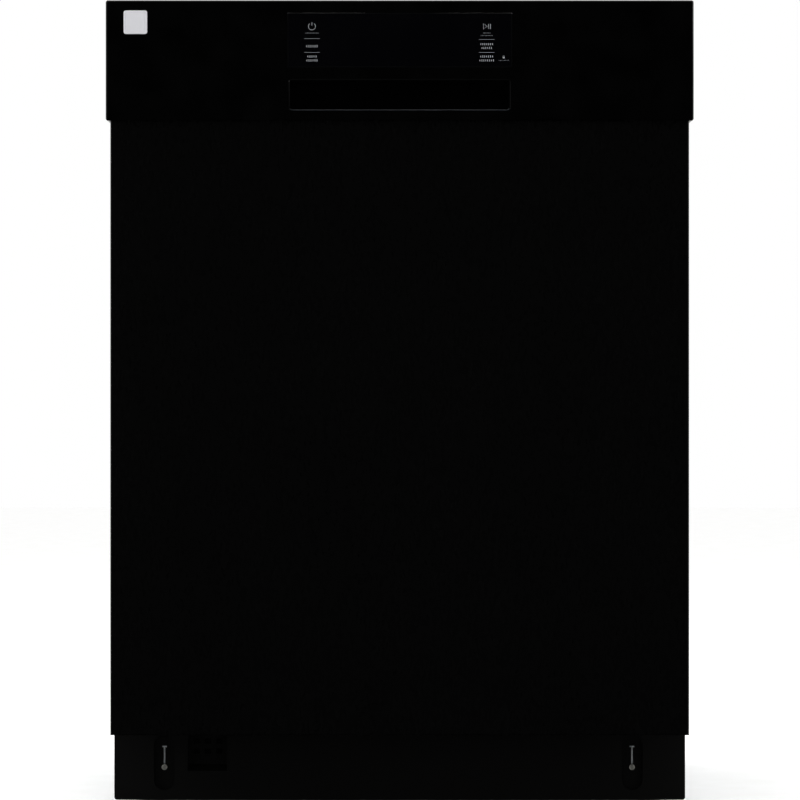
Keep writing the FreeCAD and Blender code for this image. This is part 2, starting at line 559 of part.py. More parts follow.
def make_upper_rack():
    """Upper rack, its sliding rails and the guides that hold them, its wheels and cup shelves."""
    rack = basket(UPPER_HALF, UPPER_FRONT, UPPER_REAR, UPPER_FLOOR, UPPER_RIM, 16, 14)
    tines = []
    for x in (-110, 0, 110):
        tines += fixed_tines(x, UPPER_FRONT + 60, UPPER_REAR - 60, 9, UPPER_FLOOR + WIRE, UPPER_FLOOR + 62)
    hangers = []
    for y in (5, 225):
        plate = box(UPPER_HALF, UPPER_HALF + 3, y - 12, y + 12, 520, 556)
        axle = rod(UPPER_HALF + 3, y, UPPER_WHEEL_Z, 3, 15, X_AXIS)
        head = rod(UPPER_HALF + 17.2, y, UPPER_WHEEL_Z, 4.5, 1.2, X_AXIS)
        hangers.append(fuse([plate, axle, head]))
    save("upper_rack", rack + tines + both_sides(hangers))
    for name, y in (("front", 5), ("rear", 225)):
        wheel = tube(UPPER_HALF + 7, y, UPPER_WHEEL_Z, UPPER_WHEEL_R, 3 + RUNNING, 8, X_AXIS)
        save(f"upper_wheels_{name}", both_sides([wheel]))
    web = box(268, 270, UPPER_FRONT, 245, 524, 548)
    flanges = [box(257, 268, UPPER_FRONT, 245, 524, 526), box(257, 268, UPPER_FRONT, 245, 546, 548)]
    stop = box(257, 268, UPPER_FRONT, UPPER_FRONT + 3, 526, 546)
    save("upper_rails", both_sides([web] + flanges + [stop]))
    guides = []
    for y in (-226, -62):
        guides += [box(270.3, 281.9, y, y + 42, 517, 555), box(262, 270.3, y, y + 42, 548.3, 555),
                   box(262, 270.3, y, y + 42, 517, 523.7)]
    save("upper_rail_guides", both_sides(guides))
    shelf = lattice("xy", 148, 238, -178, 182, 543, 4, 12, 3)
    bar = rod(240.5, -178, 544.5, 2.5, 360, Y_AXIS)
    save("cup_shelf_right", [shelf, bar])
    save("cup_shelf_left", [mirror_x(shelf), mirror_x(bar)])


TINE_COUNT = 11
TINE_Y0, TINE_Y1 = -180.0, 190.0


def make_lower_rack():
    """Lower rack with fixed tines, two fold-down rows, wheels and the cutlery basket."""
    rack = basket(LOWER_HALF, LOWER_FRONT, LOWER_REAR, LOWER_FLOOR, LOWER_RIM, 16, 14)
    top = LOWER_FLOOR + WIRE
    tines = []
    for x in (-200, -20):
        tines += fixed_tines(x, TINE_Y0, TINE_Y1, TINE_COUNT, top, top + 92)
    axle_z = RAIL_TOP + LOWER_WHEEL_R + 0.2
    hangers = []
    for y in (-20, 200):
        plate = box(LOWER_HALF, LOWER_HALF + 3, y - 14, y + 14, axle_z - 8, LOWER_FLOOR + 36)
        axle = rod(LOWER_HALF + 3, y, axle_z, 4, 17, X_AXIS)
        head = rod(LOWER_HALF + 18, y, axle_z, 6, 2, X_AXIS)
        hangers.append(fuse([plate, axle, head]))
    save("lower_rack", rack + tines + both_sides(hangers))
    for name, y in (("front", -20), ("rear", 200)):
        wheel = tube(LOWER_HALF + 6, y, axle_z, LOWER_WHEEL_R, 4 + RUNNING, 11, X_AXIS)
        wheel = wheel.cut(tube(LOWER_HALF + 13, y, axle_z, 14, 8, 6, X_AXIS))
        save(f"lower_wheels_{name}", both_sides([wheel]))
    for name, x in (("left", -112), ("right", 62)):
        bar = rod(x, TINE_Y0 - 12, top + 3, 2.5, TINE_Y1 - TINE_Y0 + 24, Y_AXIS)
        row = [t.cut(bar) for t in fixed_tines(x, TINE_Y0, TINE_Y1, TINE_COUNT, top + 3, top + 83)]
        save(f"tine_row_{name}", [bar] + row)


def make_cutlery_basket():
    """Moulded cutlery basket with a grid floor, ribbed walls, dividers and a carrying handle."""
    x0, x1, y0, y1 = 158.0, 240.0, -120.0, 140.0
    z0, z1, wall = LOWER_FLOOR + WIRE + 1, LOWER_FLOOR + 126, 2.5
    floor = lattice("xy", x0, x1, y0, y1, z0, 8, 24, wall)
    low = z0 + wall
    ends = [lattice("xz", x0, x1, low, z1, y, 6, 8, wall) for y in (y0, y1 - wall)]
    sides = [lattice("yz", y0 + wall, y1 - wall, low, z1, x, 20, 8, wall) for x in (x0, x1 - wall)]
    dividers = [box(x0 + wall, x1 - wall, y, y + 2, low, z1 - 12) for y in (-54, 72)]
    middle = (x0 + x1) / 2
    posts = [box(middle - 8, middle + 8, y, y + 5, low, z1 + 46) for y in (y0 + wall, y1 - wall - 5)]
    grip = box(middle - 8, middle + 8, y0 + wall, y1 - wall, z1 + 46, z1 + 56)
    grip = round_edges(grip, 4, lambda m, d: along(d, Y_AXIS))
    save("cutlery_basket", [floor] + ends + sides + dividers + posts + [grip])


# ---------------------------------------------------------------- door
WINDOW_HALF, WINDOW_LOW, WINDOW_HIGH = 114.4, 756.2, 811.8
PANEL_GAP = 0.1
POCKET_HALF, POCKET_LOW, POCKET_HIGH = 112.8, 712.4, 743.6
BADGE_X, BADGE_Z, BADGE_SIDE = -269.5, 802.2, 24.2
DISPENSER = (-95.0, 75.0, 325.0, 515.0)   # x0, x1, z0, z1
CUP = (-80.0, 0.0, 410.0, 480.0)
SMALL_CUP = (22.0, 66.0, 338.0, 398.0)


def make_skin():
    """Painted outer panel: front sheet with folded sides and a short folded foot."""
    outer = box(-SKIN_HALF, SKIN_HALF, SKIN_FRONT, -264, SKIN_BOTTOM, SKIN_TOP)
    outer = round_edges(outer, 2, lambda m, d: m.y < SKIN_FRONT + 0.1 and m.z < SKIN_TOP - 1)
    inner = box(-SKIN_HALF + SHEET, SKIN_HALF - SHEET, SKIN_FRONT + SHEET, -200, SKIN_BOTTOM + SHEET, 900)
    foot = box(-SKIN_HALF + SHEET, SKIN_HALF - SHEET, -286, -200, 0, SKIN_BOTTOM + 2)
    skin = outer.cut(inner).cut(foot)
    bend_x, bend_z = SKIN_HALF - 2, SKIN_BOTTOM + 2
    save("door_skin", cut_up(skin, [
        (-bend_x, bend_x, SKIN_FRONT, -264, bend_z, SKIN_TOP),
        (-bend_x, bend_x, SKIN_FRONT, -264, SKIN_BOTTOM, bend_z),
        (-SKIN_HALF, -bend_x, SKIN_FRONT, -264, SKIN_BOTTOM, SKIN_TOP),
        (bend_x, SKIN_HALF, SKIN_FRONT, -264, SKIN_BOTTOM, SKIN_TOP)]))
    save("door_sound_pad", [box(-262, 262, SKIN_FRONT + SHEET, SKIN_FRONT + SHEET + 7, 130, 690)])


def make_liner():
    """Stainless inner door: a shallow pan with a raised field and openings for dispenser and strike."""
    pan = box(-LINER_HALF, LINER_HALF, LINER_BACK - 5, LINER_BACK, LINER_BOTTOM, LINER_TOP)
    pan = round_edges(pan, 12, lambda m, d: along(d, Y_AXIS))
    hollow = box(-LINER_HALF + 1, LINER_HALF - 1, LINER_BACK - 9, LINER_BACK - 1,
                 LINER_BOTTOM + 1, LINER_TOP - 1)
    hollow = round_edges(hollow, 11, lambda m, d: along(d, Y_AXIS))
    field = box(-255, 255, LINER_BACK - 3, LINER_BACK + 2, 318, 785)
    field = round_edges(field, 20, lambda m, d: along(d, Y_AXIS))
    field_inner = box(-254, 254, LINER_BACK - 9, LINER_BACK + 1, 319, 784)
    field_inner = round_edges(field_inner, 19, lambda m, d: along(d, Y_AXIS))
    liner = pan.cut(hollow).fuse(field).cut(field_inner).removeSplitter()
    x0, x1, z0, z1 = DISPENSER
    x0, x1, z0, z1 = x0 + 6, x1 - 6, z0 + 6, z1 - 6
    liner = liner.cut(box(x0, x1, -300, -250, z0, z1))
    slot_half, slot_low, slot_high = 13, 803, 813
    liner = liner.cut(box(-slot_half, slot_half, -300, -250, slot_low, slot_high))
    half, low, high = LINER_HALF, LINER_BOTTOM, LINER_TOP
    rim = [(-half, 12 - half, low, high), (half - 12, half, low, high),
           (12 - half, half - 12, low, low + 1), (12 - half, half - 12, high - 1, high)]
    face = [(-half, -254, 319, 784), (254, half, 319, 784), (-half, half, low, 319),
            (-half, -slot_half, 784, high), (slot_half, half, 784, high),
            (-slot_half, slot_half, 784, slot_low), (-slot_half, slot_half, slot_high, high)]
    raised = [(-255, x0, 318, 785), (x1, 255, 318, 785), (x0, x1, 318, z0), (x0, x1, z1, 785)]
    layers = ((LINER_BACK - 5, LINER_BACK - 1, rim), (LINER_BACK - 1, LINER_BACK + 1, face),
              (LINER_BACK + 1, LINER_BACK + 2, raised))
    cells = [(a, b, back, front, c, d) for back, front, parts in layers for a, b, c, d in parts]
    save("door_liner", cut_up(liner, cells))


def make_console():
    """Moulded console shell with the window and the handle opening."""
    front = CONSOLE_FRONT
    outer = box(-CONSOLE_HALF, CONSOLE_HALF, front, -262, CONSOLE_BOTTOM, HEIGHT)
    outer = round_edges(outer, 2.5, lambda m, d: m.y < front + 0.1 or (along(d, Y_AXIS)))
    inner = box(-CONSOLE_HALF + CONSOLE_WALL, CONSOLE_HALF - CONSOLE_WALL, front + CONSOLE_WALL, -200,
                CONSOLE_BOTTOM + 2.5, HEIGHT - CONSOLE_WALL)
    under = box(-CONSOLE_HALF + CONSOLE_WALL, CONSOLE_HALF - CONSOLE_WALL, front + 3.7, -200,
                690, CONSOLE_BOTTOM + 3)
    window = box(-WINDOW_HALF, WINDOW_HALF, front - 1, front + 5, WINDOW_LOW, WINDOW_HIGH)
    mouth = box(-POCKET_HALF, POCKET_HALF, front - 1, front + 5, POCKET_LOW, POCKET_HIGH)
    mouth = round_edges(mouth, 2.5, lambda m, d: along(d, Y_AXIS))
    shell = outer.cut(inner).cut(under).cut(window).cut(mouth)
    wall_x, roof_z, face_y = CONSOLE_HALF - CONSOLE_WALL, HEIGHT - CONSOLE_WALL, front + 3.7
    bands = [(CONSOLE_BOTTOM, POCKET_LOW), (POCKET_LOW, POCKET_HIGH), (POCKET_HIGH, WINDOW_LOW),
             (WINDOW_HIGH, roof_z)]
    save("console", cut_up(shell, [
        (-CONSOLE_HALF, CONSOLE_HALF, front, -262, roof_z, HEIGHT),
        (-CONSOLE_HALF, -wall_x, front, -262, CONSOLE_BOTTOM, roof_z),
        (wall_x, CONSOLE_HALF, front, -262, CONSOLE_BOTTOM, roof_z),
        (-wall_x, -POCKET_HALF, front, face_y, CONSOLE_BOTTOM, roof_z),
        (POCKET_HALF, wall_x, front, face_y, CONSOLE_BOTTOM, roof_z)]
        + [(-POCKET_HALF, POCKET_HALF, front, face_y, low, high) for low, high in bands]))
    plate = box(-WINDOW_HALF + PANEL_GAP, WINDOW_HALF - PANEL_GAP, front, front + CONSOLE_WALL,
                WINDOW_LOW + PANEL_GAP, WINDOW_HIGH - PANEL_GAP)
    save("touch_panel", [plate])
    half = BADGE_SIDE / 2
    badge = box(BADGE_X - half, BADGE_X + half, FRONT, front, BADGE_Z - half, BADGE_Z + half)
    badge = round_edges(badge, 2.2, lambda m, d: along(d, Y_AXIS))
    save("badge", [badge])


def make_pocket():
    """Handle pocket behind the console opening: its roof rises behind the face for the fingers."""
    front = CONSOLE_FRONT + CONSOLE_WALL
    half, low, roof, back, bend = POCKET_HALF, POCKET_LOW, 751, -272, 7
    cup = box(-half - 4, half + 4, front, back + 3, low - 3, roof + 3)
    hollow = box(-half, half, front - 5, back, low, roof)
    hollow = round_edges(hollow, bend, lambda m, d: along(d, X_AXIS) and m.y > back - 5)
    save("handle_pocket", cut_up(cup.cut(hollow), [
        (-half - 4, -half, front, back + 3, low - 3, roof + 3),
        (half, half + 4, front, back + 3, low - 3, roof + 3),
        (-half, half, front, back + 3, low - 3, low),
        (-half, half, front, back + 3, roof, roof + 3),
        (-half, half, back, back + 3, low, roof),
        (-half, half, back - bend, back, low, low + bend),
        (-half, half, back - bend, back, roof - bend, roof)]))


def make_control_board():
    """Control board behind the window: board, display block, touch pads, relays and plug."""
    front = CONSOLE_FRONT + CONSOLE_WALL
    board = box(-112, 112, -300, -298.4, 760, 811)
    display = box(-34, 34, front, -300, 770, 802)
    pads = []
    for side in (-1, 1):
        for z in (799, 779, 766):
            pads.append(rod(side * 89, front, z, 5, abs(-300 - front), Y_AXIS))
    relays = [box(x, x + 18, -298.4, -286, 764, 780) for x in (-100, -74, -48)]
    plug = box(60, 100, -298.4, -288, 764, 776)
    chip = box(-12, 12, -298.4, -296.2, 778, 802)
    save("control_board", [board, display] + pads + relays + [plug, chip])


def make_hinges():
    """Hinge arms inside the door with their pins, and the torsion springs round them."""
    strap = box(272, 276, -286, -266, PIVOT_Z, 360)
    boss = rod(272, PIVOT_Y, PIVOT_Z, 12, 4, X_AXIS)
    pin = rod(276, PIVOT_Y, PIVOT_Z, 5, 8, X_AXIS)
    core = rod(258, PIVOT_Y, PIVOT_Z, 7, 14, X_AXIS)
    tab = box(272, 294.5, -300, -298, 150, 340)
    web = box(272, 276, -298, -286, 200, 340)
    save("hinge_arms", both_sides([fuse([strap, boss, pin, core, web, tab])]))
    turns, wire_r, mean_r = 4, 1.4, 9.0
    pitch = 2 * wire_r + 0.3
    helix = Part.makeHelix(pitch, turns * pitch, mean_r)
    profile = Part.Wire([Part.makeCircle(wire_r, Vector(mean_r, 0, 0), Y_AXIS)])
    coil = Part.Wire(helix).makePipeShell([profile], True, True)
    coil.rotate(Vector(0, 0, 0), Y_AXIS, 90)
    coil.translate(Vector(258.2, PIVOT_Y, PIVOT_Z))
    save("hinge_springs", both_sides([coil]))


def make_dispenser():
    """Detergent dispenser in the inner door, its sliding lid and the rinse-aid cap."""
    x0, x1, z0, z1 = DISPENSER
    flange = round_edges(box(x0, x1, LINER_BACK + 2, -250, z0, z1), 10, lambda m, d: along(d, Y_AXIS))
    body = box(x0 + 7, x1 - 7, -284, LINER_BACK + 2, z0 + 7, z1 - 7)
    cup = box(CUP[0], CUP[1], -276, -240, CUP[2], CUP[3])
    small = box(SMALL_CUP[0], SMALL_CUP[1], -262, -240, SMALL_CUP[2], SMALL_CUP[3])
    bands = [(x0, CUP[0], z0, z1), (CUP[1], SMALL_CUP[0], z0, z1), (SMALL_CUP[1], x1, z0, z1)]
    for left, right, low, high in (CUP, SMALL_CUP):
        bands += [(left, right, z0, low), (left, right, low, high), (left, right, high, z1)]
    pieces = []
    for layer in (flange, body):
        hollow = layer.cut(cup).cut(small)
        pieces += cut_up(hollow, [(a, b, -284, -250, c, d) for a, b, c, d in bands])
    save("dispenser_body", pieces)
    lid = box(CUP[0] - 4, CUP[1] + 4, -249.7, -246.7, CUP[2] - 4, CUP[3] + 4)
    lid = round_edges(lid, 6, lambda m, d: along(d, Y_AXIS))
    ridge = round_edges(box(-60, -20, -246.7, -244.7, 468, 474), 0.8, lambda m, d: m.y > -245)
    save("dispenser_lid", [fuse([lid, ridge])])
    cap = rod(45, -249.8, 465, 17, 4, Y_AXIS)
    wing = round_edges(box(31, 59, -245.8, -242, 462, 468), 1, lambda m, d: m.y > -243)
    save("rinse_aid_cap", [fuse([cap, wing])])


def make_latch():
    """Door latch: case and claw in the door, tongue-shaped strike on the frame."""
    case = box(-36, 36, -288, -264, 789, 821.5)
    throat = box(-13, 13, -281, -260, 802, 820)
    save("latch_body", [case.cut(throat)])
    strike = box(-8, 8, -276, TUB_FRONT, 807.6, 810.1)
    strike = strike.cut(box(-5.5, 5.5, -270, -262, 800, 812))
    save("door_strike", [round_edges(strike, 3, lambda m, d: along(d, Z_AXIS) and m.y < -275)])
    arm = box(-4.5, 4.5, -279, -264.6, 813.4, 816.4)
    claw = box(-4.5, 4.5, -268, -264.6, 810.8, 813.4)
    hub = rod(-4.5, -276, 815, 3, 9, X_AXIS)
    save("latch_hook", [fuse([arm, claw, hub])])


def main():
    """Builds every node."""
    for maker in (make_tub, make_tub_floor, make_front_frame, make_gasket, make_blanket, make_brackets,
                  make_base, make_legs, make_toe_kick, make_kick_screws, make_sump, make_filters,
                  make_float, make_heater, make_wash_pump, make_drain_pump, make_inlet, make_hoses,
                  make_feed_pipe, make_spray_arms, make_upper_rack, make_lower_rack,
                  make_cutlery_basket, make_skin, make_liner, make_console, make_pocket,
                  make_control_board, make_hinges, make_dispenser, make_latch):
        maker()


main()
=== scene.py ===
"""Finished look of a built-in dishwasher: materials, wire racks, spray arms, seals and printed marks.

The CAD model is the frame. Every piece made here rides on one of its bodies. Shapes are given in
millimetres in the frame's axes (+Z up, +X right seen from the front, front towards -Y).
"""
import json
import logging
import math
from dataclasses import dataclass
from enum import Enum
from functools import cache

import bmesh
import bpy
from mathutils import Matrix, Vector, noise


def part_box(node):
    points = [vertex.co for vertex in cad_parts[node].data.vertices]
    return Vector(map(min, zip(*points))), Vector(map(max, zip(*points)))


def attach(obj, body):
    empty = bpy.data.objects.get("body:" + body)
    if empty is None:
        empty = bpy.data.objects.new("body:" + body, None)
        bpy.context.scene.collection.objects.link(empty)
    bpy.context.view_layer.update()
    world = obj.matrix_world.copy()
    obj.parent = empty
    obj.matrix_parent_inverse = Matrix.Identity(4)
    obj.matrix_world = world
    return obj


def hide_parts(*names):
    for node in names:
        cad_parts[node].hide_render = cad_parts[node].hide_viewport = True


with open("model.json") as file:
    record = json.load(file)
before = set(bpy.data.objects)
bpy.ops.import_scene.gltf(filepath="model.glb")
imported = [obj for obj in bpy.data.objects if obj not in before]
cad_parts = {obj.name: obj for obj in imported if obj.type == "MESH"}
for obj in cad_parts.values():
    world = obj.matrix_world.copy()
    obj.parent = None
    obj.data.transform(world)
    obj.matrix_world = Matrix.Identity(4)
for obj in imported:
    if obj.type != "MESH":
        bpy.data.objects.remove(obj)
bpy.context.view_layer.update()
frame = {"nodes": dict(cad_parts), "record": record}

LOG = logging.getLogger("dishwasher")
MM = 0.001
Pair = tuple[float, float]
Triple = tuple[float, float, float]
Place = Vector | Triple
X, Y, Z = Vector((1, 0, 0)), Vector((0, 1, 0)), Vector((0, 0, 1))

# two bends that share an edge each take less than half of it
BEND_SHARE = 0.49
# a block's chamfer takes at most this share of its half size
CHAMFER_SHARE = 0.9
# rings of a wire's domed tip: how far out and how wide, in wire radii
DOME = ((0.45, 0.7), (0.6, 0.25))
# radius of the racks' upright wires, in millimetres
TINE = 1.9
# smallest ring of a turned shape, so that its end face stays whole
THIN = 0.02


# ---- colour and shader nodes
def linear(code: str) -> tuple[float, float, float, float]:
    """Turns an sRGB hex code into the linear colour that a shader expects."""
    channels = [int(code[i:i + 2], 16) / 255 for i in (1, 3, 5)]
    turned = [c / 12.92 if c <= 0.04045 else ((c + 0.055) / 1.055) ** 2.4 for c in channels]
    return (*turned, 1.0)


def add(tree: bpy.types.NodeTree, kind: str, inputs: dict | None = None, **settings) -> bpy.types.Node:
    """Adds one shader node.

    Args:
        tree: The node tree that takes it.
        kind: Blender's name of the node type, after its ShaderNode prefix.
        inputs: Value or source socket for each input, by name or index.
        settings: Properties of the node itself.

    Returns:
        The new node.
    """
    made = tree.nodes.new("ShaderNode" + kind)
    for name, value in settings.items():
        setattr(made, name, value)
    for key, value in (inputs or {}).items():
        if isinstance(value, bpy.types.NodeSocket):
            tree.links.new(value, made.inputs[key])
        else:
            made.inputs[key].default_value = value
    return made


class Relief(Enum):
    """The small shape of a surface, which drives its colour variation and its bump."""

    CLOUD = "soft grain"
    PEEL = "paint ripple"
    BRUSHED = "long scratches"
    SPANGLE = "zinc crystals"
    FIBRE = "matted fibres"
    HOLES = "punched holes"
    TRACKS = "copper tracks"


@dataclass(frozen=True)
class Finish:
    """A real material and the process that gives it its surface.

    Attributes:
        name: Material name.
        colour: Main colour, sRGB hex.
        second: Colour of the other half of the pattern, sRGB hex.
        roughness: Lowest and highest roughness over the surface.
        relief: Kind of pattern.
        grain_mm: Size of the pattern's features.
        depth_mm: Height of the pattern.
        stretch: How much longer the features are along each axis.
        metallic: 1 for bare metal.
        specular: Specular level of a dielectric.
    """

    name: str
    colour: str
    second: str
    roughness: Pair
    relief: Relief = Relief.CLOUD
    grain_mm: float = 0.5
    depth_mm: float = 0.004
    stretch: Triple = (1.0, 1.0, 1.0)
    metallic: float = 0.0
    specular: float = 0.5

    def pattern(self, tree: bpy.types.NodeTree, place: bpy.types.NodeSocket) -> bpy.types.NodeSocket:
        """Builds the pattern field.

        Args:
            tree: Node tree of the material.
            place: Coordinates, already stretched.

        Returns:
            A socket with values between about 0 and 1.
        """
        scale = 1000 / self.grain_mm
        if self.relief is Relief.SPANGLE:
            cells = add(tree, "TexVoronoi", {"Vector": place, "Scale": scale})
            return add(tree, "SeparateColor", {"Color": cells.outputs["Color"]}).outputs[0]
        # the hole mask turns into dark round spots in the colour: painted shade where each hole's hollow
        # would be
        if self.relief is Relief.HOLES:
            cells = add(tree, "TexVoronoi", {"Vector": place, "Scale": scale, "Randomness": 0.0})
            distance = {"Value": cells.outputs["Distance"], "From Min": 0.26, "From Max": 0.32}
            return add(tree, "MapRange", distance, interpolation_type="SMOOTHSTEP").outputs[0]
        if self.relief is Relief.TRACKS:
            return add(tree, "TexBrick", {"Vector": place, "Scale": scale, "Mortar Size": 0.08},
                       offset=0.37, squash=0.6).outputs["Fac"]
        detail = {Relief.PEEL: 1.5, Relief.BRUSHED: 4.0, Relief.FIBRE: 8.0}.get(self.relief, 5.0)
        warp = 2.2 if self.relief is Relief.FIBRE else 0.0
        return add(tree, "TexNoise", {"Vector": place, "Scale": scale, "Detail": detail,
                                                "Distortion": warp}).outputs[0]

    def material(self) -> bpy.types.Material:
        """Builds the node material of this finish."""
        made = bpy.data.materials.new(self.name)
        made.use_nodes = True
        made.diffuse_color = linear(self.colour)
        tree = made.node_tree
        tree.nodes.clear()
        where = add(tree, "TexCoord").outputs["Object"]
        squeeze = tuple(1 / s for s in self.stretch)
        place = add(tree, "Mapping", {"Vector": where, "Scale": squeeze}).outputs[0]
        height = self.pattern(tree, place)
        spread = add(tree, "MapRange", {"Value": height, "From Min": 0.3, "From Max": 0.7}).outputs[0]
        # sockets 6 and 7 are the two colours that are mixed
        tint = add(tree, "Mix", {0: spread, 6: linear(self.second), 7: linear(self.colour)},
                   data_type="RGBA").outputs[2]
        smudge = add(tree, "TexNoise", {"Vector": where, "Scale": 9.0, "Detail": 3.0}).outputs[0]
        mixed = add(tree, "Math", {0: spread, 1: smudge}, operation="MULTIPLY").outputs[0]
        rough = add(tree, "MapRange", {
            "Value": mixed, "From Min": 0.1, "From Max": 0.6,
            "To Min": self.roughness[0], "To Max": self.roughness[1]}).outputs[0]
        bump = add(tree, "Bump", {
            "Height": height, "Distance": self.depth_mm * MM, "Strength": 1.0}).outputs[0]
        shader = add(tree, "BsdfPrincipled", {
            "Base Color": tint, "Roughness": rough, "Normal": bump, "Metallic": self.metallic,
            "Specular IOR Level": self.specular})
        add(tree, "OutputMaterial", {"Surface": shader.outputs[0]})
        return made


FINISHES: dict[str, Finish] = {
    # polished injection tool: near mirror black with very faint flow clouds
    "gloss_black": Finish("gloss_abs_black", "#010101", "#030303", (0.05, 0.09), grain_mm=30, specular=0.25),
    # sprayed enamel on sheet steel: deep black, satin, with a fine upright ripple
    "black_enamel": Finish(
        "satin_enamel_on_steel", "#020202", "#040404", (0.24, 0.32), Relief.PEEL, 2.6, 0.012,
        (1.0, 1.0, 3.0), specular=0.2),
    # baked powder coat: dark, slightly warm, pebbled
    "matt_black_paint": Finish(
        "matt_powder_coat", "#080807", "#060605", (0.5, 0.62), Relief.PEEL, 0.9, 0.03, specular=0.2),
    # hard-coated panel: glossier and cooler than the shell round it
    "black_panel": Finish(
        "hard_coated_panel", "#020203", "#030304", (0.03, 0.06), grain_mm=40, depth_mm=0.002, specular=0.25),
    # austenitic sheet, belt brushed along its depth: soft streaks
    "stainless": Finish(
        "brushed_stainless_steel", "#bfbebb", "#aeada9", (0.26, 0.4), Relief.BRUSHED, 0.7, 0.006,
        (1.0, 60.0, 1.0), 0.82),
    # hot-dip zinc: frozen crystals of slightly different greys
    "galvanised": Finish(
        "hot_dip_galvanised_steel", "#c3c7c9", "#b1b6b9", (0.45, 0.6), Relief.SPANGLE, 5.0, metallic=0.7),
    # electroplated zinc: even pale metal with small dull spots
    "zinc_plated": Finish(
        "bright_zinc_plate", "#bcbcb6", "#989890", (0.42, 0.58), grain_mm=1.5, depth_mm=0.01, metallic=0.7),
    # drawn and oiled spring wire: dark metal with draw marks
    "spring_steel": Finish(
        "oiled_spring_wire", "#77787a", "#56585a", (0.28, 0.42), Relief.BRUSHED, 0.5, 0.01,
        (20.0, 1.0, 1.0), 1.0),
    # bead-blasted anodised plaque: pale and soft, with a very fine sparkle
    "bright_aluminium": Finish(
        "bead_blasted_aluminium", "#ebebee", "#dfdfe3", (0.78, 0.9), grain_mm=0.25, depth_mm=0.008,
        metallic=0.5),
    # nylon powder melted over steel wire: smooth blue-grey skin with faint sags
    "rack_coating": Finish(
        "nylon_dipped_wire", "#8d959c", "#808890", (0.26, 0.38), grain_mm=6, depth_mm=0.03),
    # moulded polypropylene, light grey: low gloss, fine spark-eroded grain
    "grey_plastic": Finish(
        "moulded_polypropylene_grey", "#9aa0a5", "#8d9398", (0.36, 0.5), grain_mm=0.8, depth_mm=0.015),
    # moulded acetal, black: slick with fine grain
    "dark_plastic": Finish(
        "moulded_acetal_black", "#26282a", "#1d1f21", (0.3, 0.42), grain_mm=0.8, depth_mm=0.012),
    # milky polypropylene of the water parts
    "white_plastic": Finish(
        "milky_polypropylene", "#c9cac5", "#bfc0ba", (0.3, 0.45), grain_mm=8, depth_mm=0.03),
    # glass-filled nylon: dark grey with pale fibre specks
    "pump_plastic": Finish("glass_filled_nylon", "#34383a", "#494e50", (0.45, 0.6), Relief.FIBRE, 1.6, 0.03),
    # moulded rubber seal: dull black with talc bloom
    "black_rubber": Finish(
        "moulded_rubber_seal", "#232323", "#2f2f2e", (0.6, 0.75), grain_mm=5, depth_mm=0.02),
    # recycled textile felt: mixed grey fibres, fully matt
    "felt": Finish(
        "needled_cotton_felt", "#8b8a86", "#6d6b68", (0.9, 1.0), Relief.FIBRE, 3.5, 0.5, specular=0.2),
    # bitumen damping sheet: near black, dull and lumpy
    "sound_mat": Finish(
        "bitumen_damping_sheet", "#2a2a29", "#353433", (0.7, 0.85), grain_mm=4, depth_mm=0.12),
    # lacquered circuit laminate: green with lighter tracks
    "circuit_board": Finish(
        "lacquered_laminate", "#1f5a3a", "#2f7a50", (0.25, 0.4), Relief.TRACKS, 6.0, 0.03),
    # punched stainless strainer: its holes are dark round spots in rows, painted shade of the hollow behind
    # each hole
    "filter_steel": Finish(
        "punched_stainless_strainer", "#c2c1bd", "#1a1a1a", (0.3, 0.45), Relief.HOLES, 2.4, 0.25,
        metallic=1.0),
    # extruded hose rubber: dark grey with lengthwise marks
    "hose_rubber": Finish(
        "extruded_hose_rubber", "#33363a", "#292c2f", (0.5, 0.65), Relief.BRUSHED, 1.2, 0.03,
        (1.0, 8.0, 1.0)),
    # from here on: prints and trimmings, which are not slots of the record
    # screen-printed ink of the keys: pale, flat, slightly broken
    "print_light": Finish("screen_ink_light", "#a3a6a9", "#8d9093", (0.55, 0.65)),
    # the thinner rules between the keys are printed weaker
    "print_grey": Finish("screen_ink_grey", "#727578", "#626568", (0.55, 0.65)),
    # border of the window: a rule only just lighter than the panel
    "print_dark": Finish("screen_ink_dark", "#060707", "#040505", (0.6, 0.7), specular=0.1),
    # waxed polyester sewing thread: dark, with a faint waxy shine
    "thread": Finish("waxed_thread", "#3d3c39", "#302f2d", (0.5, 0.6), grain_mm=1.0, depth_mm=0.05),
    # black sheet behind the air inlet, painted shade that keeps its holes dark: no sheen, it swallows the
    # light
    "inlet_painted_shade": Finish(
        "painted_shade_sheet", "#060606", "#020202", (0.95, 1.0), Relief.FIBRE, 1.2, 0.3, specular=0.0),
    # lower lip of the pocket: one thin line of light, a painted highlight in a blue-grey lighter than the
    # gloss black
    "lip_painted_highlight": Finish("painted_highlight_on_lip", "#15191d", "#121519", (0.14, 0.22), grain_mm=12),
}


@cache
def material_of(key: str) -> bpy.types.Material:
    """Material of a finish, built on first use."""
    return FINISHES[key].material()


# ---- mesh building
def rounded(points: list[Triple], radius: float, steps: int = 5, closed: bool = False) -> list[Vector]:
    """Rounds the corners of a polyline.

    Args:
        points: Corners in millimetres.
        radius: Distance from a corner at which its bend begins.
        steps: Segments in each bend.
        closed: Whether the last corner joins the first.

    Returns:
        The points of the rounded line.
    """
    corners = [Vector(p) for p in points]
    count = len(corners)
    line: list[Vector] = []
    for i, corner in enumerate(corners):
        if not closed and i in (0, count - 1):
            line.append(corner)
            continue
        before, after = corners[i - 1], corners[(i + 1) % count]
        shortest = min((before - corner).length, (after - corner).length)
        reach = min(radius, shortest * BEND_SHARE)
        start = corner + (before - corner).normalized() * reach
        end = corner + (after - corner).normalized() * reach
        for k in range(steps + 1):
            t = k / steps
            line.append(start * (1 - t) ** 2 + corner * 2 * t * (1 - t) + end * t * t)
    return line


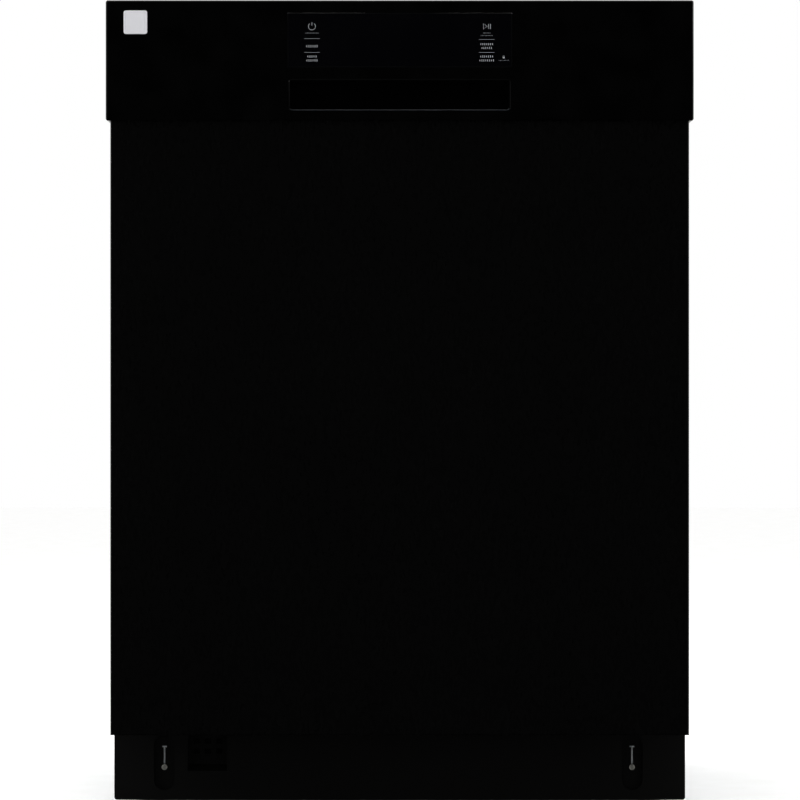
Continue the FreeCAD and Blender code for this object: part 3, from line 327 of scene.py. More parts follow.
def rectangle(half_x: float, half_z: float, radius: float, steps: int = 5) -> list[Pair]:
    """Outline of a rounded rectangle about the origin."""
    corners = [(-half_x, 0, -half_z), (half_x, 0, -half_z), (half_x, 0, half_z), (-half_x, 0, half_z)]
    return [(p.x, p.z) for p in rounded(corners, radius, steps, closed=True)]


def circle(centre: Vector, side: Vector, other: Vector, radius: float, count: int) -> list[Vector]:
    """Points round a circle, from one direction towards the other."""
    turns = [2 * math.pi * k / count for k in range(count)]
    return [centre + (side * math.cos(a) + other * math.sin(a)) * radius for a in turns]


def link(name: str, data: bpy.types.ID) -> bpy.types.Object:
    """Puts new data into the scene as an object of that name."""
    made = bpy.data.objects.new(name, data)
    bpy.context.scene.collection.objects.link(made)
    return made


class Shape:
    """Collects surfaces in millimetres and turns them into one mesh piece."""

    def __init__(self) -> None:
        """Starts with an empty mesh."""
        self.points: list[Vector] = []
        self.faces: list[list[int]] = []

    def loft(self, rings: list[list[Vector]], closed: bool = False) -> None:
        """Joins rings of equal length with quads.

        Args:
            rings: Closed rings of points, in order.
            closed: Whether the last ring joins the first. If not, both ends are filled.
        """
        first, size = len(self.points), len(rings[0])
        for ring in rings:
            self.points.extend(ring)
        spans = len(rings) if closed else len(rings) - 1
        for i in range(spans):
            low, high = first + i * size, first + (i + 1) % len(rings) * size
            for j in range(size):
                k = (j + 1) % size
                self.faces.append([low + j, low + k, high + k, high + j])
        if not closed:
            self.faces.append(list(range(first, first + size))[::-1])
            last = first + (len(rings) - 1) * size
            self.faces.append(list(range(last, last + size)))

    def tube(self, path: list[Place], radius: float, sides: int = 10, closed: bool = False) -> None:
        """Sweeps a round wire along a path, with a domed tip at each open end."""
        line = [Vector(p) for p in path]
        count = len(line)
        runs = [(line[(i + 1) % count] - line[i]).normalized() for i in range(count if closed else count - 1)]
        tangents = []
        for i in range(count):
            ahead = runs[min(i, len(runs) - 1)]
            behind = runs[i - 1] if closed or i > 0 else runs[0]
            tangents.append((ahead + behind).normalized())
        side = tangents[0].orthogonal().normalized()
        stations = [(p, t, radius) for p, t in zip(line, tangents)]
        if not closed:
            head, tail = tangents[0], tangents[-1]
            for reach, share in DOME:
                stations.insert(0, (line[0] - head * radius * reach, head, radius * share))
                stations.append((line[-1] + tail * radius * reach, tail, radius * share))
        rings = []
        for point, tangent, size in stations:
            side = (side - tangent * side.dot(tangent)).normalized()
            rings.append(circle(point, side, tangent.cross(side), size, sides))
        self.loft(rings, closed)

    def sweep(self, path: list[Place], section: list[Pair], up: Vector, closed: bool = False) -> None:
        """Sweeps a section along a flat path.

        Args:
            path: Points in a plane at right angles to up.
            section: Points of the section, as (across, along up).
            up: Direction that stays the same along the path.
            closed: Whether the path is a loop.
        """
        line = [Vector(p) for p in path]
        count = len(line)
        rings = []
        for i, point in enumerate(line):
            before = line[i - 1] if closed or i > 0 else point
            after = line[(i + 1) % count] if closed or i < count - 1 else point
            across = (after - before).normalized().cross(up)
            rings.append([point + across * a + up * b for a, b in section])
        self.loft(rings, closed)

    def lathe(self, profile: list[Pair], origin: Triple, axis: Vector, sides: int = 40,
              closed: bool = False) -> None:
        """Turns a profile of (radius, height) pairs about an axis."""
        side = axis.orthogonal().normalized()
        other = axis.cross(side)
        rings = [circle(Vector(origin) + axis * h, side, other, max(r, THIN), sides) for r, h in profile]
        self.loft(rings, closed)

    def plate(self, outline: list[Pair], layers: list[Pair], centre: Pair) -> None:
        """Stacks copies of an outline in XZ along Y.

        Args:
            outline: Points about the origin.
            layers: For each copy its y and how far it shrinks inwards.
            centre: Place of the outline's origin, as (x, z).
        """
        widest = max(abs(p[0]) for p in outline), max(abs(p[1]) for p in outline)
        rings = []
        for y, inset in layers:
            scale = (1 - inset / widest[0], 1 - inset / widest[1])
            rings.append([Vector((centre[0] + a * scale[0], y, centre[1] + b * scale[1]))
                          for a, b in outline])
        self.loft(rings)

    def block(self, low: Triple, high: Triple, bevel: float) -> None:
        """A block with chamfered edges, lofted along Z."""
        centre = [(a + b) / 2 for a, b in zip(low, high)]
        half = [(b - a) / 2 for a, b in zip(low, high)]
        rings = []
        for z, inset in ((low[2], bevel), (low[2] + bevel, 0), (high[2] - bevel, 0), (high[2], bevel)):
            x, y = half[0] - inset, half[1] - inset
            cut = min(bevel, x * CHAMFER_SHARE, y * CHAMFER_SHARE)
            ring = [(-x + cut, -y), (x - cut, -y), (x, -y + cut), (x, y - cut), (x - cut, y), (-x + cut, y),
                    (-x, y - cut), (-x, -y + cut)]
            rings.append([Vector((centre[0] + a, centre[1] + b, z)) for a, b in ring])
        self.loft(rings)

    def stroke(self, line: list[Pair], width: float, y_front: float, y_back: float,
               closed: bool = False) -> None:
        """A flat printed line in the XZ plane with a little thickness."""
        half = width / 2
        section = [(-half, y_front), (half, y_front), (half, y_back), (-half, y_back)]
        self.sweep([(x, 0, z) for x, z in line], section, Y, closed)

    def piece(self, name: str, key: str, body: str, replaced: tuple[str, ...] = (),
              sharp_deg: float = 35.0, slot: str | None = None) -> bpy.types.Object:
        """Builds the mesh object and puts it on its body.

        Args:
            name: Name of the piece.
            key: Finish of the surface.
            body: Body that it rides on.
            replaced: CAD nodes that it stands for.
            sharp_deg: Edges sharper than this stay crisp.
            slot: Material slot in the record, if not the finish's own; not used.

        Returns:
            The new object.
        """
        mesh = bpy.data.meshes.new(name)
        mesh.from_pydata([p * MM for p in self.points], [], self.faces)
        work = bmesh.new()
        work.from_mesh(mesh)
        loose = [v for v in work.verts if not v.link_faces]
        bmesh.ops.delete(work, geom=loose, context="VERTS")
        bmesh.ops.recalc_face_normals(work, faces=work.faces)
        work.to_mesh(mesh)
        work.free()
        mesh.shade_smooth()
        mesh.set_sharp_from_angle(angle=math.radians(sharp_deg))
        mesh.materials.append(material_of(key))
        made = link(name, mesh)
        if replaced:
            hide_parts(*replaced)
        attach(made, body)
        LOG.info("%s on %s: %d faces", name, body, len(mesh.polygons))
        return made


# ---- stage
@dataclass(frozen=True)
class SoftBox:
    """One square area lamp, in metres and watts."""

    name: str
    place: Triple
    size: float
    power: float


@dataclass
class Stage:
    """Pale floor, soft light and the camera, in metres."""

    camera_distance: float = 4.4
    camera_side: float = 0.0003
    camera_height: float = 0.4170
    lens_mm: float = 194.15
    sensor_mm: float = 36.0
    sight: float = 100.0
    console_proud: float = 0.004
    floor_size: float = 24.0
    flag_front: Triple = (0, -1, 0)
    flag_below: Triple = (0, -0.2, -2.0)
    flag_edge: Pair = (0.35, 0.8)
    flag_level: Pair = (0.85, 0.004)
    lamp_aim: Triple = (0, 0, 0.4)
    lamps: tuple[SoftBox, ...] = (
        SoftBox("left_box", (-3.4, -0.9, 2.4), size=1.6, power=40),
        SoftBox("right_box", (3.4, -0.3, 1.8), size=1.6, power=25),
        SoftBox("top_box", (0.0, 0.6, 3.2), size=2.0, power=35))

    def camera(self) -> None:
        """Places a level camera in front of the console's face."""
        data = bpy.data.cameras.new("front_camera")
        data.lens, data.sensor_width = self.lens_mm, self.sensor_mm
        data.clip_end = self.sight
        made = link("front_camera", data)
        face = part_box("door_skin")[0][1] - self.console_proud
        made.location = (self.camera_side, face - self.camera_distance, self.camera_height)
        made.rotation_euler = (math.pi / 2, 0, 0)
        bpy.context.scene.camera = made

    def floor(self) -> None:
        """Lays a wide pale floor that gives light but stays out of reflections."""
        half = self.floor_size / 2
        mesh = bpy.data.meshes.new("studio_floor")
        corners = [(-half, -half, 0), (half, -half, 0), (half, half, 0), (-half, half, 0)]
        mesh.from_pydata(corners, [], [(0, 1, 2, 3)])
        paper = Finish("studio_paper", "#ffffff", "#fbfbfa", (0.85, 0.95), grain_mm=60, depth_mm=0.05,
                       specular=0.0)
        mesh.materials.append(paper.material())
        made = link("studio_floor", mesh)
        made.visible_glossy = False

    def world(self) -> None:
        """White surround, with dark flags in front and below that keep the black door black."""
        world = bpy.data.worlds.new("studio")
        bpy.context.scene.world = world
        world.use_nodes = True
        tree = world.node_tree
        tree.nodes.clear()
        path = add(tree, "LightPath")
        where = add(tree, "TexCoord").outputs["Generated"]
        front, below = [add(tree, "VectorMath", {0: where, 1: way}, operation="DOT_PRODUCT")
                        for way in (self.flag_front, self.flag_below)]
        dark = add(tree, "Math", {0: front.outputs["Value"], 1: below.outputs["Value"]},
                   operation="MAXIMUM").outputs[0]
        steps = {"Value": dark, "From Min": self.flag_edge[0], "From Max": self.flag_edge[1],
                 "To Min": self.flag_level[0], "To Max": self.flag_level[1]}
        flag = add(tree, "MapRange", steps, interpolation_type="SMOOTHSTEP").outputs[0]
        level = add(tree, "Mix", {0: path.outputs["Is Glossy Ray"], 2: 1.0, 3: flag},
                    data_type="FLOAT").outputs[0]
        light = add(tree, "Background", {"Color": linear("#ffffff"), "Strength": level})
        add(tree, "OutputWorld", {"Surface": light.outputs[0]})

    def light(self) -> None:
        """Adds the soft boxes."""
        for lamp in self.lamps:
            data = bpy.data.lights.new(lamp.name, "AREA")
            data.size, data.energy = lamp.size, lamp.power
            made = link(lamp.name, data)
            made.location = lamp.place
            aim = Vector(self.lamp_aim) - Vector(lamp.place)
            made.rotation_euler = aim.to_track_quat("-Z", "Y").to_euler()

    def build(self) -> None:
        """Sets up the whole stage."""
        self.camera()
        self.floor()
        self.world()
        self.light()
        bpy.context.scene.view_settings.view_transform = "Standard"


# ---- door front
@dataclass
class ConsoleFront:
    """Marks and border of the touch window, rim of the handle pocket, and the plaque."""

    face: float = -309.0
    ink: float = 0.05
    left_x: float = -89.5
    right_x: float = 88.7
    window: tuple[float, float, float] = (113.8, 756.8, 811.2)
    pocket: tuple[float, float, float] = (112.8, 712.4, 743.6)
    badge_centre: Pair = (-269.5, 802.2)
    badge_half: float = 12.0
    key_z: float = 798.0
    padlock: Pair = (106.1, 766.3)
    icon_line: float = 0.4
    start_line: float = 0.42
    rule_line: float = 0.34
    rule_half: float = 8.0
    tall: float = 2.0
    dash_share: float = 0.27

    def mark(self, shape: Shape, line: list[Pair], width: float, closed: bool = False) -> None:
        """Prints one stroke on the window."""
        shape.stroke(line, width, self.face - self.ink, self.face + 0.1, closed)

    def bars(self, shape: Shape, x: float, z: float, width: float, height: float, count: int) -> None:
        """Prints a row of short upright dashes that stands for a word."""
        pitch = width / count
        for i in range(count):
            at = x - width / 2 + pitch * (i + 0.5)
            rise = height / 2 * (1.0 if i % 3 else 0.8)
            self.mark(shape, [(at, z - rise), (at, z + rise)], pitch * self.dash_share)

    def arc(self, x: float, z: float, radius: float, start: float, end: float, steps: int = 28) -> list[Pair]:
        """Points on an arc, in degrees from straight right, anticlockwise."""
        turns = [math.radians(start + (end - start) * k / steps) for k in range(steps + 1)]
        return [(x + radius * math.cos(a), z + radius * math.sin(a)) for a in turns]

    def icons(self, shape: Shape) -> None:
        """Power mark, start and pause mark, and a small padlock."""
        x, z = self.left_x, self.key_z
        self.mark(shape, self.arc(x, z, 3.6, 128, 412), self.icon_line)
        self.mark(shape, [(x, z + 0.6), (x, z + 4.3)], self.icon_line)
        x = self.right_x
        triangle = [(x - 3.3, z - 2.9), (x - 3.3, z + 2.9), (x + 0.6, z)]
        self.mark(shape, triangle, self.start_line, closed=True)
        for bar in (x + 2.1, x + 3.9):
            self.mark(shape, [(bar, z - 2.6), (bar, z + 2.6)], self.start_line)
        x, z = self.padlock
        self.mark(shape, [(x - 0.9, z - 0.2), (x + 0.9, z - 0.2)], 1.2)
        self.mark(shape, self.arc(x, z + 0.9, 0.8, 0, 180, 10), 0.3)

    def marks(self) -> None:
        """Prints icons, dashes and rules."""
        light, grey = Shape(), Shape()
        self.icons(light)
        # one row per word: its middle, width and height, and how many dashes it has
        left = ((791.2, 14.0, 1.2, 9), (777.8, 12.6, 2.5, 6), (767.3, 10.6, 2.2, 5), (763.3, 12.4, 2.2, 6))
        right = ((791.3, 8.4, 1.0, 6), (788.7, 13.0, 1.0, 9), (779.9, 14.0, 2.2, 7), (776.0, 11.6, 2.2, 6),
                 (767.3, 14.0, 2.2, 7), (763.3, 15.8, 2.2, 8))
        lock = ((763.3, 11.0, 0.9, 8),)
        for x, words in ((self.left_x, left), (self.right_x, right), (self.padlock[0], lock)):
            for z, width, height, count in words:
                self.bars(light if height > self.tall else grey, x, z, width, height, count)
        for x, levels in ((self.left_x, (785.6, 771.5)), (self.right_x, (784.7, 771.5))):
            for z in levels:
                self.mark(grey, [(x - self.rule_half, z), (x + self.rule_half, z)], self.rule_line)
        light.piece("key_icons", "print_light", "door", slot="black_panel")
        grey.piece("key_rules", "print_grey", "door", slot="black_panel")

    def border(self) -> None:
        """Thin rule just inside the window's edge."""
        half, low, high = self.window
        shape = Shape()
        outline = rectangle(half, (high - low) / 2, 2.0)
        self.mark(shape, [(x, z + (high + low) / 2) for x, z in outline], self.icon_line, closed=True)
        shape.piece("window_border", "print_dark", "door", slot="black_panel")

    def pocket_rim(self) -> None:
        """Rolled edge round the handle opening, heavier along the bottom."""
        half, low, high = self.pocket
        middle = (low + high) / 2
        loop = [(x, self.face + 0.1, z + middle) for x, z in rectangle(half, (high - low) / 2, 2.5)]
        shape = Shape()
        shape.tube(loop, 0.3, 8, closed=True)
        shape.piece("pocket_rim", "gloss_black", "door")
        shape = Shape()
        ends = ((-half + 1, 1.4), (-half + 3, 0.2), (half - 3, 0.2), (half - 1, 1.4))
        lip = [(x, self.face - 0.1, low + rise) for x, rise in ends]
        shape.tube(rounded(lip, 1.5, 3), 0.5, 10)
        # the lip's lighter colour is a painted highlight along the pocket's bottom edge
        shape.piece("pocket_lip", "lip_painted_highlight", "door", slot="gloss_black")

    def plaque(self) -> None:
        """Plain bordered plaque with a bevelled edge."""
        shape = Shape()
        outline = rectangle(self.badge_half, self.badge_half, 2.6, 8)
        # height over the console and inset of each step of the moulded border
        steps = ((0.0, 0.0), (0.7, 0.0), (1.0, 0.35), (1.0, 1.5), (0.75, 1.75), (0.75, 2.4), (0.95, 2.65))
        shape.plate(outline, [(self.face - rise, inset) for rise, inset in steps], self.badge_centre)
        shape.piece("plain_plaque", "bright_aluminium", "door", ("badge",), 20)

    def build(self) -> None:
        """Makes every piece of the console front."""
        self.marks()
        self.border()
        self.pocket_rim()
        self.plaque()


@dataclass
class AirInlet:
    """Black sheet behind the holes of the toe kick's air inlet: painted shade that keeps the holes dark."""

    left: float = -216.5
    right: float = -182.5
    low: float = 45.0
    high: float = 77.0
    front: float = -220.4
    thick: float = 2.5

    def build(self) -> None:
        """Makes the dark sheet of painted shade."""
        shape = Shape()
        corners = (self.left, self.front, self.low), (self.right, self.front + self.thick, self.high)
        shape.block(*corners, 0.8)
        # a dark sheet set where there is only shade behind the holes: painted shade
        shape.piece("inlet_painted_shade", "inlet_painted_shade", "cabinet", slot="matt_black_paint")


# ---- racks
@dataclass(frozen=True)
class WireBasket:
    """Basket of bent wire: hoops both ways, three level rings and a heavier rim."""

    half: float
    front: float
    rear: float
    floor: float
    rim: float
    columns: int = 16
    rows: int = 14
    wire: float = 2.0
    rim_wire: float = 2.6
    bend: float = 9.0
    crossing: float = 0.6
    thinner: float = 0.8

    def hoops(self, shape: Shape) -> None:
        """Adds the wires that run down one wall, across the floor and up the other."""
        r = self.wire
        x0, x1 = -self.half + r, self.half - r
        y0, y1 = self.front + r, self.rear - r
        low, high = self.floor + r, self.rim - self.rim_wire
        paths = []
        for i in range(1, self.columns):
            x = x0 + (x1 - x0) * i / self.columns
            paths.append([(x, y0, high), (x, y0, low), (x, y1, low), (x, y1, high)])
        low += self.crossing
        for j in range(1, self.rows):
            y = y0 + (y1 - y0) * j / self.rows
            paths.append([(x0, y, high), (x0, y, low), (x1, y, low), (x1, y, high)])
        for path in paths:
            shape.tube(rounded(path, self.bend, 4), r * self.thinner, 8)

    def rings(self, shape: Shape) -> None:
        """Adds the level rings and the rim, each with its height, wire and inset."""
        levels = [(self.floor + 5, self.wire, 5.0), (self.rim - self.rim_wire, self.rim_wire, 1.6)]
        step = (self.rim - self.floor) / 3
        levels += [(self.floor + step * k, self.wire * self.thinner, 2.0) for k in (1, 2)]
        for z, radius, inset in levels:
            x, y0, y1 = self.half - inset - 1, self.front + inset + 1, self.rear - inset - 1
            corners = [(-x, y0, z), (x, y0, z), (x, y1, z), (-x, y1, z)]
            shape.tube(rounded(corners, 16, 6, closed=True), radius, 10, closed=True)

    def tines(self, shape: Shape, x: float, first: float, last: float, count: int, height: float) -> None:
        """Adds a row of upright tines joined by a foot wire."""
        low = self.floor + 4
        for i in range(count):
            y = first + (last - first) * i / (count - 1)
            shape.tube([(x, y, low - 1), (x, y, low + height * 0.6), (x, y, low + height - 1)], TINE, 10)
        shape.tube([(x, first - 14, low + 1), (x, last + 14, low + 1)], TINE, 8)

    def hangers(self, shape: Shape, places: Pair, levels: Pair, width: float, axle_z: float,
                axle: float, reach: float) -> None:
        """Adds the plates and axles that carry the wheels.

        Args:
            shape: Mesh that takes them.
            places: The y of each plate.
            levels: Bottom and top of a plate.
            width: Its half width.
            axle_z: Height of its axle.
            axle: Radius of its axle.
            reach: Length of its axle.
        """
        head = axle * 1.5
        profile = [(axle, 0.0), (axle, reach - 1.4), (head, reach - 1.3), (head, reach - 0.4),
                   (axle * 1.2, reach)]
        for side in (-1, 1):
            near, far = side * self.half, side * (self.half + 3)
            for y in places:
                low, high = (min(near, far), y - width, levels[0]), (max(near, far), y + width, levels[1])
                shape.block(low, high, 1.2)
                shape.lathe(profile, (far, y, axle_z), X * side, 20)


@dataclass(frozen=True)
class WheelPair:
    """Two spoked wheels on one body of a rack, one at each side."""

    name: str
    y: float
    z: float
    x: float
    outer: float
    width: float
    bore: float

    def wheel(self, shape: Shape, side: int) -> None:
        """Adds one wheel: a grooved tyre, a hub and six spokes."""
        outer, inner, bore, half = self.outer, self.outer * 0.78, self.bore, self.width / 2
        tyre = [(outer - 0.8, -half), (outer, -half + 0.8), (outer, -0.6), (outer - 0.5, 0), (outer, 0.6),
                (outer, half - 0.8), (outer - 0.8, half), (outer * 0.8, half), (inner, half - 0.6),
                (inner, -half + 0.6), (outer * 0.8, -half)]
        hub = [(bore, -half), (bore + 1.6, -half), (bore + 2.2, -half + 0.6), (bore + 2.2, half - 0.6),
               (bore + 1.6, half), (bore, half)]
        centre = (side * self.x, self.y, self.z)
        shape.lathe(tyre, centre, X * side, 48, closed=True)
        shape.lathe(hub, centre, X * side, 32, closed=True)
        web, thick = self.width * 0.22, 1.0
        section = ((-web, -thick), (web, -thick), (web, thick), (-web, thick))
        for k in range(6):
            turn = Matrix.Rotation(math.pi * k / 3, 3, "X")
            shape.loft([[Vector(centre) + turn @ Vector((x, y, z)) for x, y in section]
                        for z in (bore + 1.5, outer * 0.8)])

    def build(self) -> None:
        """Makes both wheels as one piece."""
        shape = Shape()
        for side in (-1, 1):
            self.wheel(shape, side)
        shape.piece(f"{self.name}_spoked", "grey_plastic", self.name, (self.name,))


@dataclass
class Racks:
    """Both racks with their shelves, fold-down tines and wheels."""

    upper: WireBasket = WireBasket(half=248, front=-236, rear=250, floor=470, rim=590)
    lower: WireBasket = WireBasket(half=248, front=-214, rear=236, floor=172, rim=292)
    shelf_x: Pair = (150.0, 236.5)
    shelf_y: Pair = (-176.0, 180.0)
    shelf_z: float = 545.0
    hinge_x: float = 240.5
    hinge_z: float = 544.5
    hinge_bar: float = 2.4
    row_z: float = 179.0
    row_tines: int = 11
    row_pitch: float = 37.0

    def baskets(self) -> None:
        """Both baskets with their fixed tine rows and their wheel plates."""
        upper, lower = Shape(), Shape()
        for basket, shape in ((self.upper, upper), (self.lower, lower)):
            basket.hoops(shape)
            basket.rings(shape)
        for x in (-110, 0, 110):
            self.upper.tines(upper, x, first=-176, last=190, count=9, height=58)
        for x in (-200, -20):
            self.lower.tines(lower, x, first=-180, last=190, count=11, height=92)
        self.upper.hangers(upper, places=(5, 225), levels=(520, 556), width=12, axle_z=536, axle=3,
                           reach=15.4)
        self.lower.hangers(lower, places=(-20, 200), levels=(146.2, 208), width=14, axle_z=154.2, axle=4,
                           reach=17)
        upper.piece("upper_wire_rack", "rack_coating", "upper_rack", ("upper_rack",))
        lower.piece("lower_wire_rack", "rack_coating", "lower_rack", ("lower_rack",))

    def shelf(self, body: str, side: int) -> None:
        """Folding cup shelf: a rounded loop with cross wires and hinge eyes."""
        shape = Shape()
        (front, rear), z = self.shelf_y, self.shelf_z
        inner, outer = [side * x for x in self.shelf_x]
        corners = [(inner, front, z), (outer, front, z), (outer, rear, z), (inner, rear, z)]
        shape.tube(rounded(corners, 12, 5, closed=True), TINE, 10, closed=True)
        for k in range(1, 12):
            y = front + (rear - front) * k / 12
            shape.tube([(inner, y, z), (outer, y, z)], 1.3, 8)
        for x in (171, 193, 215):
            shape.tube([(side * x, front, z), (side * x, rear, z)], 1.3, 8)
        x, z, r = side * self.hinge_x, self.hinge_z, self.hinge_bar
        shape.tube([(x, front - 1, z), (x, rear + 1, z)], r, 12)
        for y in (-120, 0, 120):
            shape.lathe([(r, -5), (3.1, -4.4), (3.1, 4.4), (r, 5)], (x, y, z), Y, 16)
        shape.piece(f"folding_{body}", "rack_coating", body, (body,))

    def tine_row(self, side: str, x: float) -> None:
        """Fold-down row: a hinge bar with tines that stand on it."""
        shape = Shape()
        z, r = self.row_z, self.hinge_bar
        shape.tube([(x, -191, z), (x, 201, z)], r, 12)
        for i in range(self.row_tines):
            y = -180 + self.row_pitch * i
            shape.tube([(x, y, z), (x, y, z + 50), (x, y, z + 79)], TINE, 10)
            shape.lathe([(r, -4), (3.2, -3.2), (3.2, 3.2), (r, 4)], (x, y, z), Y, 16)
        body = f"tine_row_{side}"
        shape.piece(f"folding_tines_{side}", "rack_coating", body, (body,))

    def build(self) -> None:
        """Makes every rack piece."""
        self.baskets()
        self.shelf("cup_shelf_left", -1)
        self.shelf("cup_shelf_right", 1)
        self.tine_row("left", -112)
        self.tine_row("right", 62)
        for end, y in (("front", 5), ("rear", 225)):
            WheelPair(f"upper_wheels_{end}", y, z=536, x=259, outer=9.5, width=8, bore=3.05).build()
        for end, y in (("front", -20), ("rear", 200)):
            WheelPair(f"lower_wheels_{end}", y, z=154.2, x=259.5, outer=18, width=11, bore=4.05).build()


# ---- spray arms
@dataclass
class SprayArm:
    """Two-bladed arm: crowned blades with round tips, a ribbed hub and nozzles."""

    name: str
    radius: float
    width: float
    blade_z: Pair
    hub: float
    hub_z: Pair
    bore: float
    bore_z: Pair
    jets: int
    centre_y: float = 30.0
    stations: int = 49
    sides: int = 24
    ribs: int = 16
    tip_share: float = 0.4
    taper: float = 0.18
    thinning: float = 0.1
    square: Pair = (0.55, 0.7)
    jet_inset: Pair = (16, 22)

    def blade(self, shape: Shape) -> None:
        """Adds both blades as one lofted body."""
        low, high = self.blade_z
        mid, half_z = (low + high) / 2, (high - low) / 2
        reach = self.width * self.tip_share
        rings = []
        for i in range(self.stations):
            s = math.cos(math.pi * (1 - i / (self.stations - 1)))
            x = s * self.radius
            tip = math.sqrt(max(0.0, 1 - max(0.0, (abs(x) - self.radius + reach) / reach) ** 2))
            half_y = self.width / 2 * (1 - self.taper * abs(s)) * max(tip, 0.05)
            rise = half_z * max(tip, 0.3) * (1 - self.thinning * abs(s))
            ring = []
            for k in range(self.sides):
                a = 2 * math.pi * k / self.sides
                c, d = math.cos(a), math.sin(a)
                y = half_y * math.copysign(abs(c) ** self.square[0], c)
                z = rise * math.copysign(abs(d) ** self.square[1], d)
                ring.append(Vector((x, self.centre_y + y, mid + z)))
            rings.append(ring)
        shape.loft(rings)

    def nozzles(self, shape: Shape) -> None:
        """Adds rimmed nozzles along the top of each blade."""
        top, offset = self.blade_z[1] - 0.9, self.width * 0.16
        profile = [(4.6, top - 1.5), (4.6, top + 0.5), (4.0, top + 1.1), (2.2, top + 1.1), (1.6, top + 0.2),
                   (0.1, top + 0.1)]
        run = self.radius - self.hub - sum(self.jet_inset)
        for i in range(self.jets):
            for side in (-1, 1):
                x = side * (self.hub + self.jet_inset[0] + i * run / (self.jets - 1))
                y = self.centre_y + side * (1 if i % 2 else -1) * offset
                shape.lathe(profile, (x, y, 0), Z, 20)

    def centre(self, shape: Shape) -> None:
        """Adds the hub with its bearing bore, open below or above, and its grip ribs."""
        (low, high), r, bore = self.hub_z, self.hub, self.bore
        z = self.bore_z[0]
        wall = [(r - 1.0, low), (r, low + 1.0), (r, high - 1.5), (r - 1.5, high)]
        if z > low:
            profile = wall + [(bore, high), (bore, z), (bore * 0.5, z), (bore * 0.5, low)]
        else:
            z = self.bore_z[1]
            profile = [(bore, low)] + wall + [(bore * 0.5, high), (bore * 0.5, z), (bore, z)]
        shape.lathe(profile, (0, self.centre_y, 0), Z, 48, closed=True)
        for k in range(self.ribs):
            a = 2 * math.pi * k / self.ribs
            x, y = (r - 0.2) * math.cos(a), self.centre_y + (r - 0.2) * math.sin(a)
            shape.tube([(x, y, low + 1.5), (x, y, high - 2)], 0.7, 6)

    def build(self) -> None:
        """Makes the arm."""
        shape = Shape()
        self.blade(shape)
        self.nozzles(shape)
        self.centre(shape)
        shape.piece(f"moulded_{self.name}", "grey_plastic", self.name, (self.name,), 40)


SPRAY_ARMS = (
    SprayArm("lower_spray_arm", radius=226, width=44, blade_z=(146, 160), hub=26, hub_z=(138, 162),
             bore=12.05, bore_z=(138, 148), jets=7),
    SprayArm("mid_spray_arm", radius=208, width=38, blade_z=(442, 452), hub=17, hub_z=(440, 457.5),
             bore=9.05, bore_z=(453.5, 458), jets=6),
    SprayArm("top_spray_arm", radius=105, width=32, blade_z=(766, 776), hub=13, hub_z=(764, 783),
             bore=9.05, bore_z=(773.5, 784), jets=4))


# ---- seals, blanket and legs
@dataclass
class DoorSeal:
    """Bulb seal round the mouth and the wiper below it."""

    side_x: float = 287.3
    top_z: float = 804.5
    foot_z: float = 150.5
    plane: float = -252.0
    wiper_z: float = 121.0
    bulb: float = 2.4
    drop: float = 3.4

    def build(self) -> None:
        """Sweeps the bulb section up, over and down, and the wiper across."""
        r = self.bulb
        bulb = [(r * math.cos(math.radians(a)), -self.drop + r * math.sin(math.radians(a)))
                for a in range(40, -221, -20)]
        section = [(-r, 0.0), (r, 0.0), (r, -0.9)] + bulb + [(-r, -0.9)]
        ends = ((-self.side_x, self.foot_z), (-self.side_x, self.top_z), (self.side_x, self.top_z),
                (self.side_x, self.foot_z))
        shape = Shape()
        shape.sweep(rounded([(x, self.plane, z) for x, z in ends], 14, 8), section, Y)
        lip = [(-3.0, 0.0), (3.0, 0.0), (3.0, -1.4), (0.8, -2.2), (-0.4, -4.4), (-2.4, -5.9), (-2.9, -5.5),
               (-1.4, -3.6), (-3.0, -1.4)]
        shape.sweep([(x, self.plane, self.wiper_z) for x in (-276, 0, 276)], lip, Y)
        shape.piece("bulb_seal", "black_rubber", "cabinet", ("door_gasket",), 50)


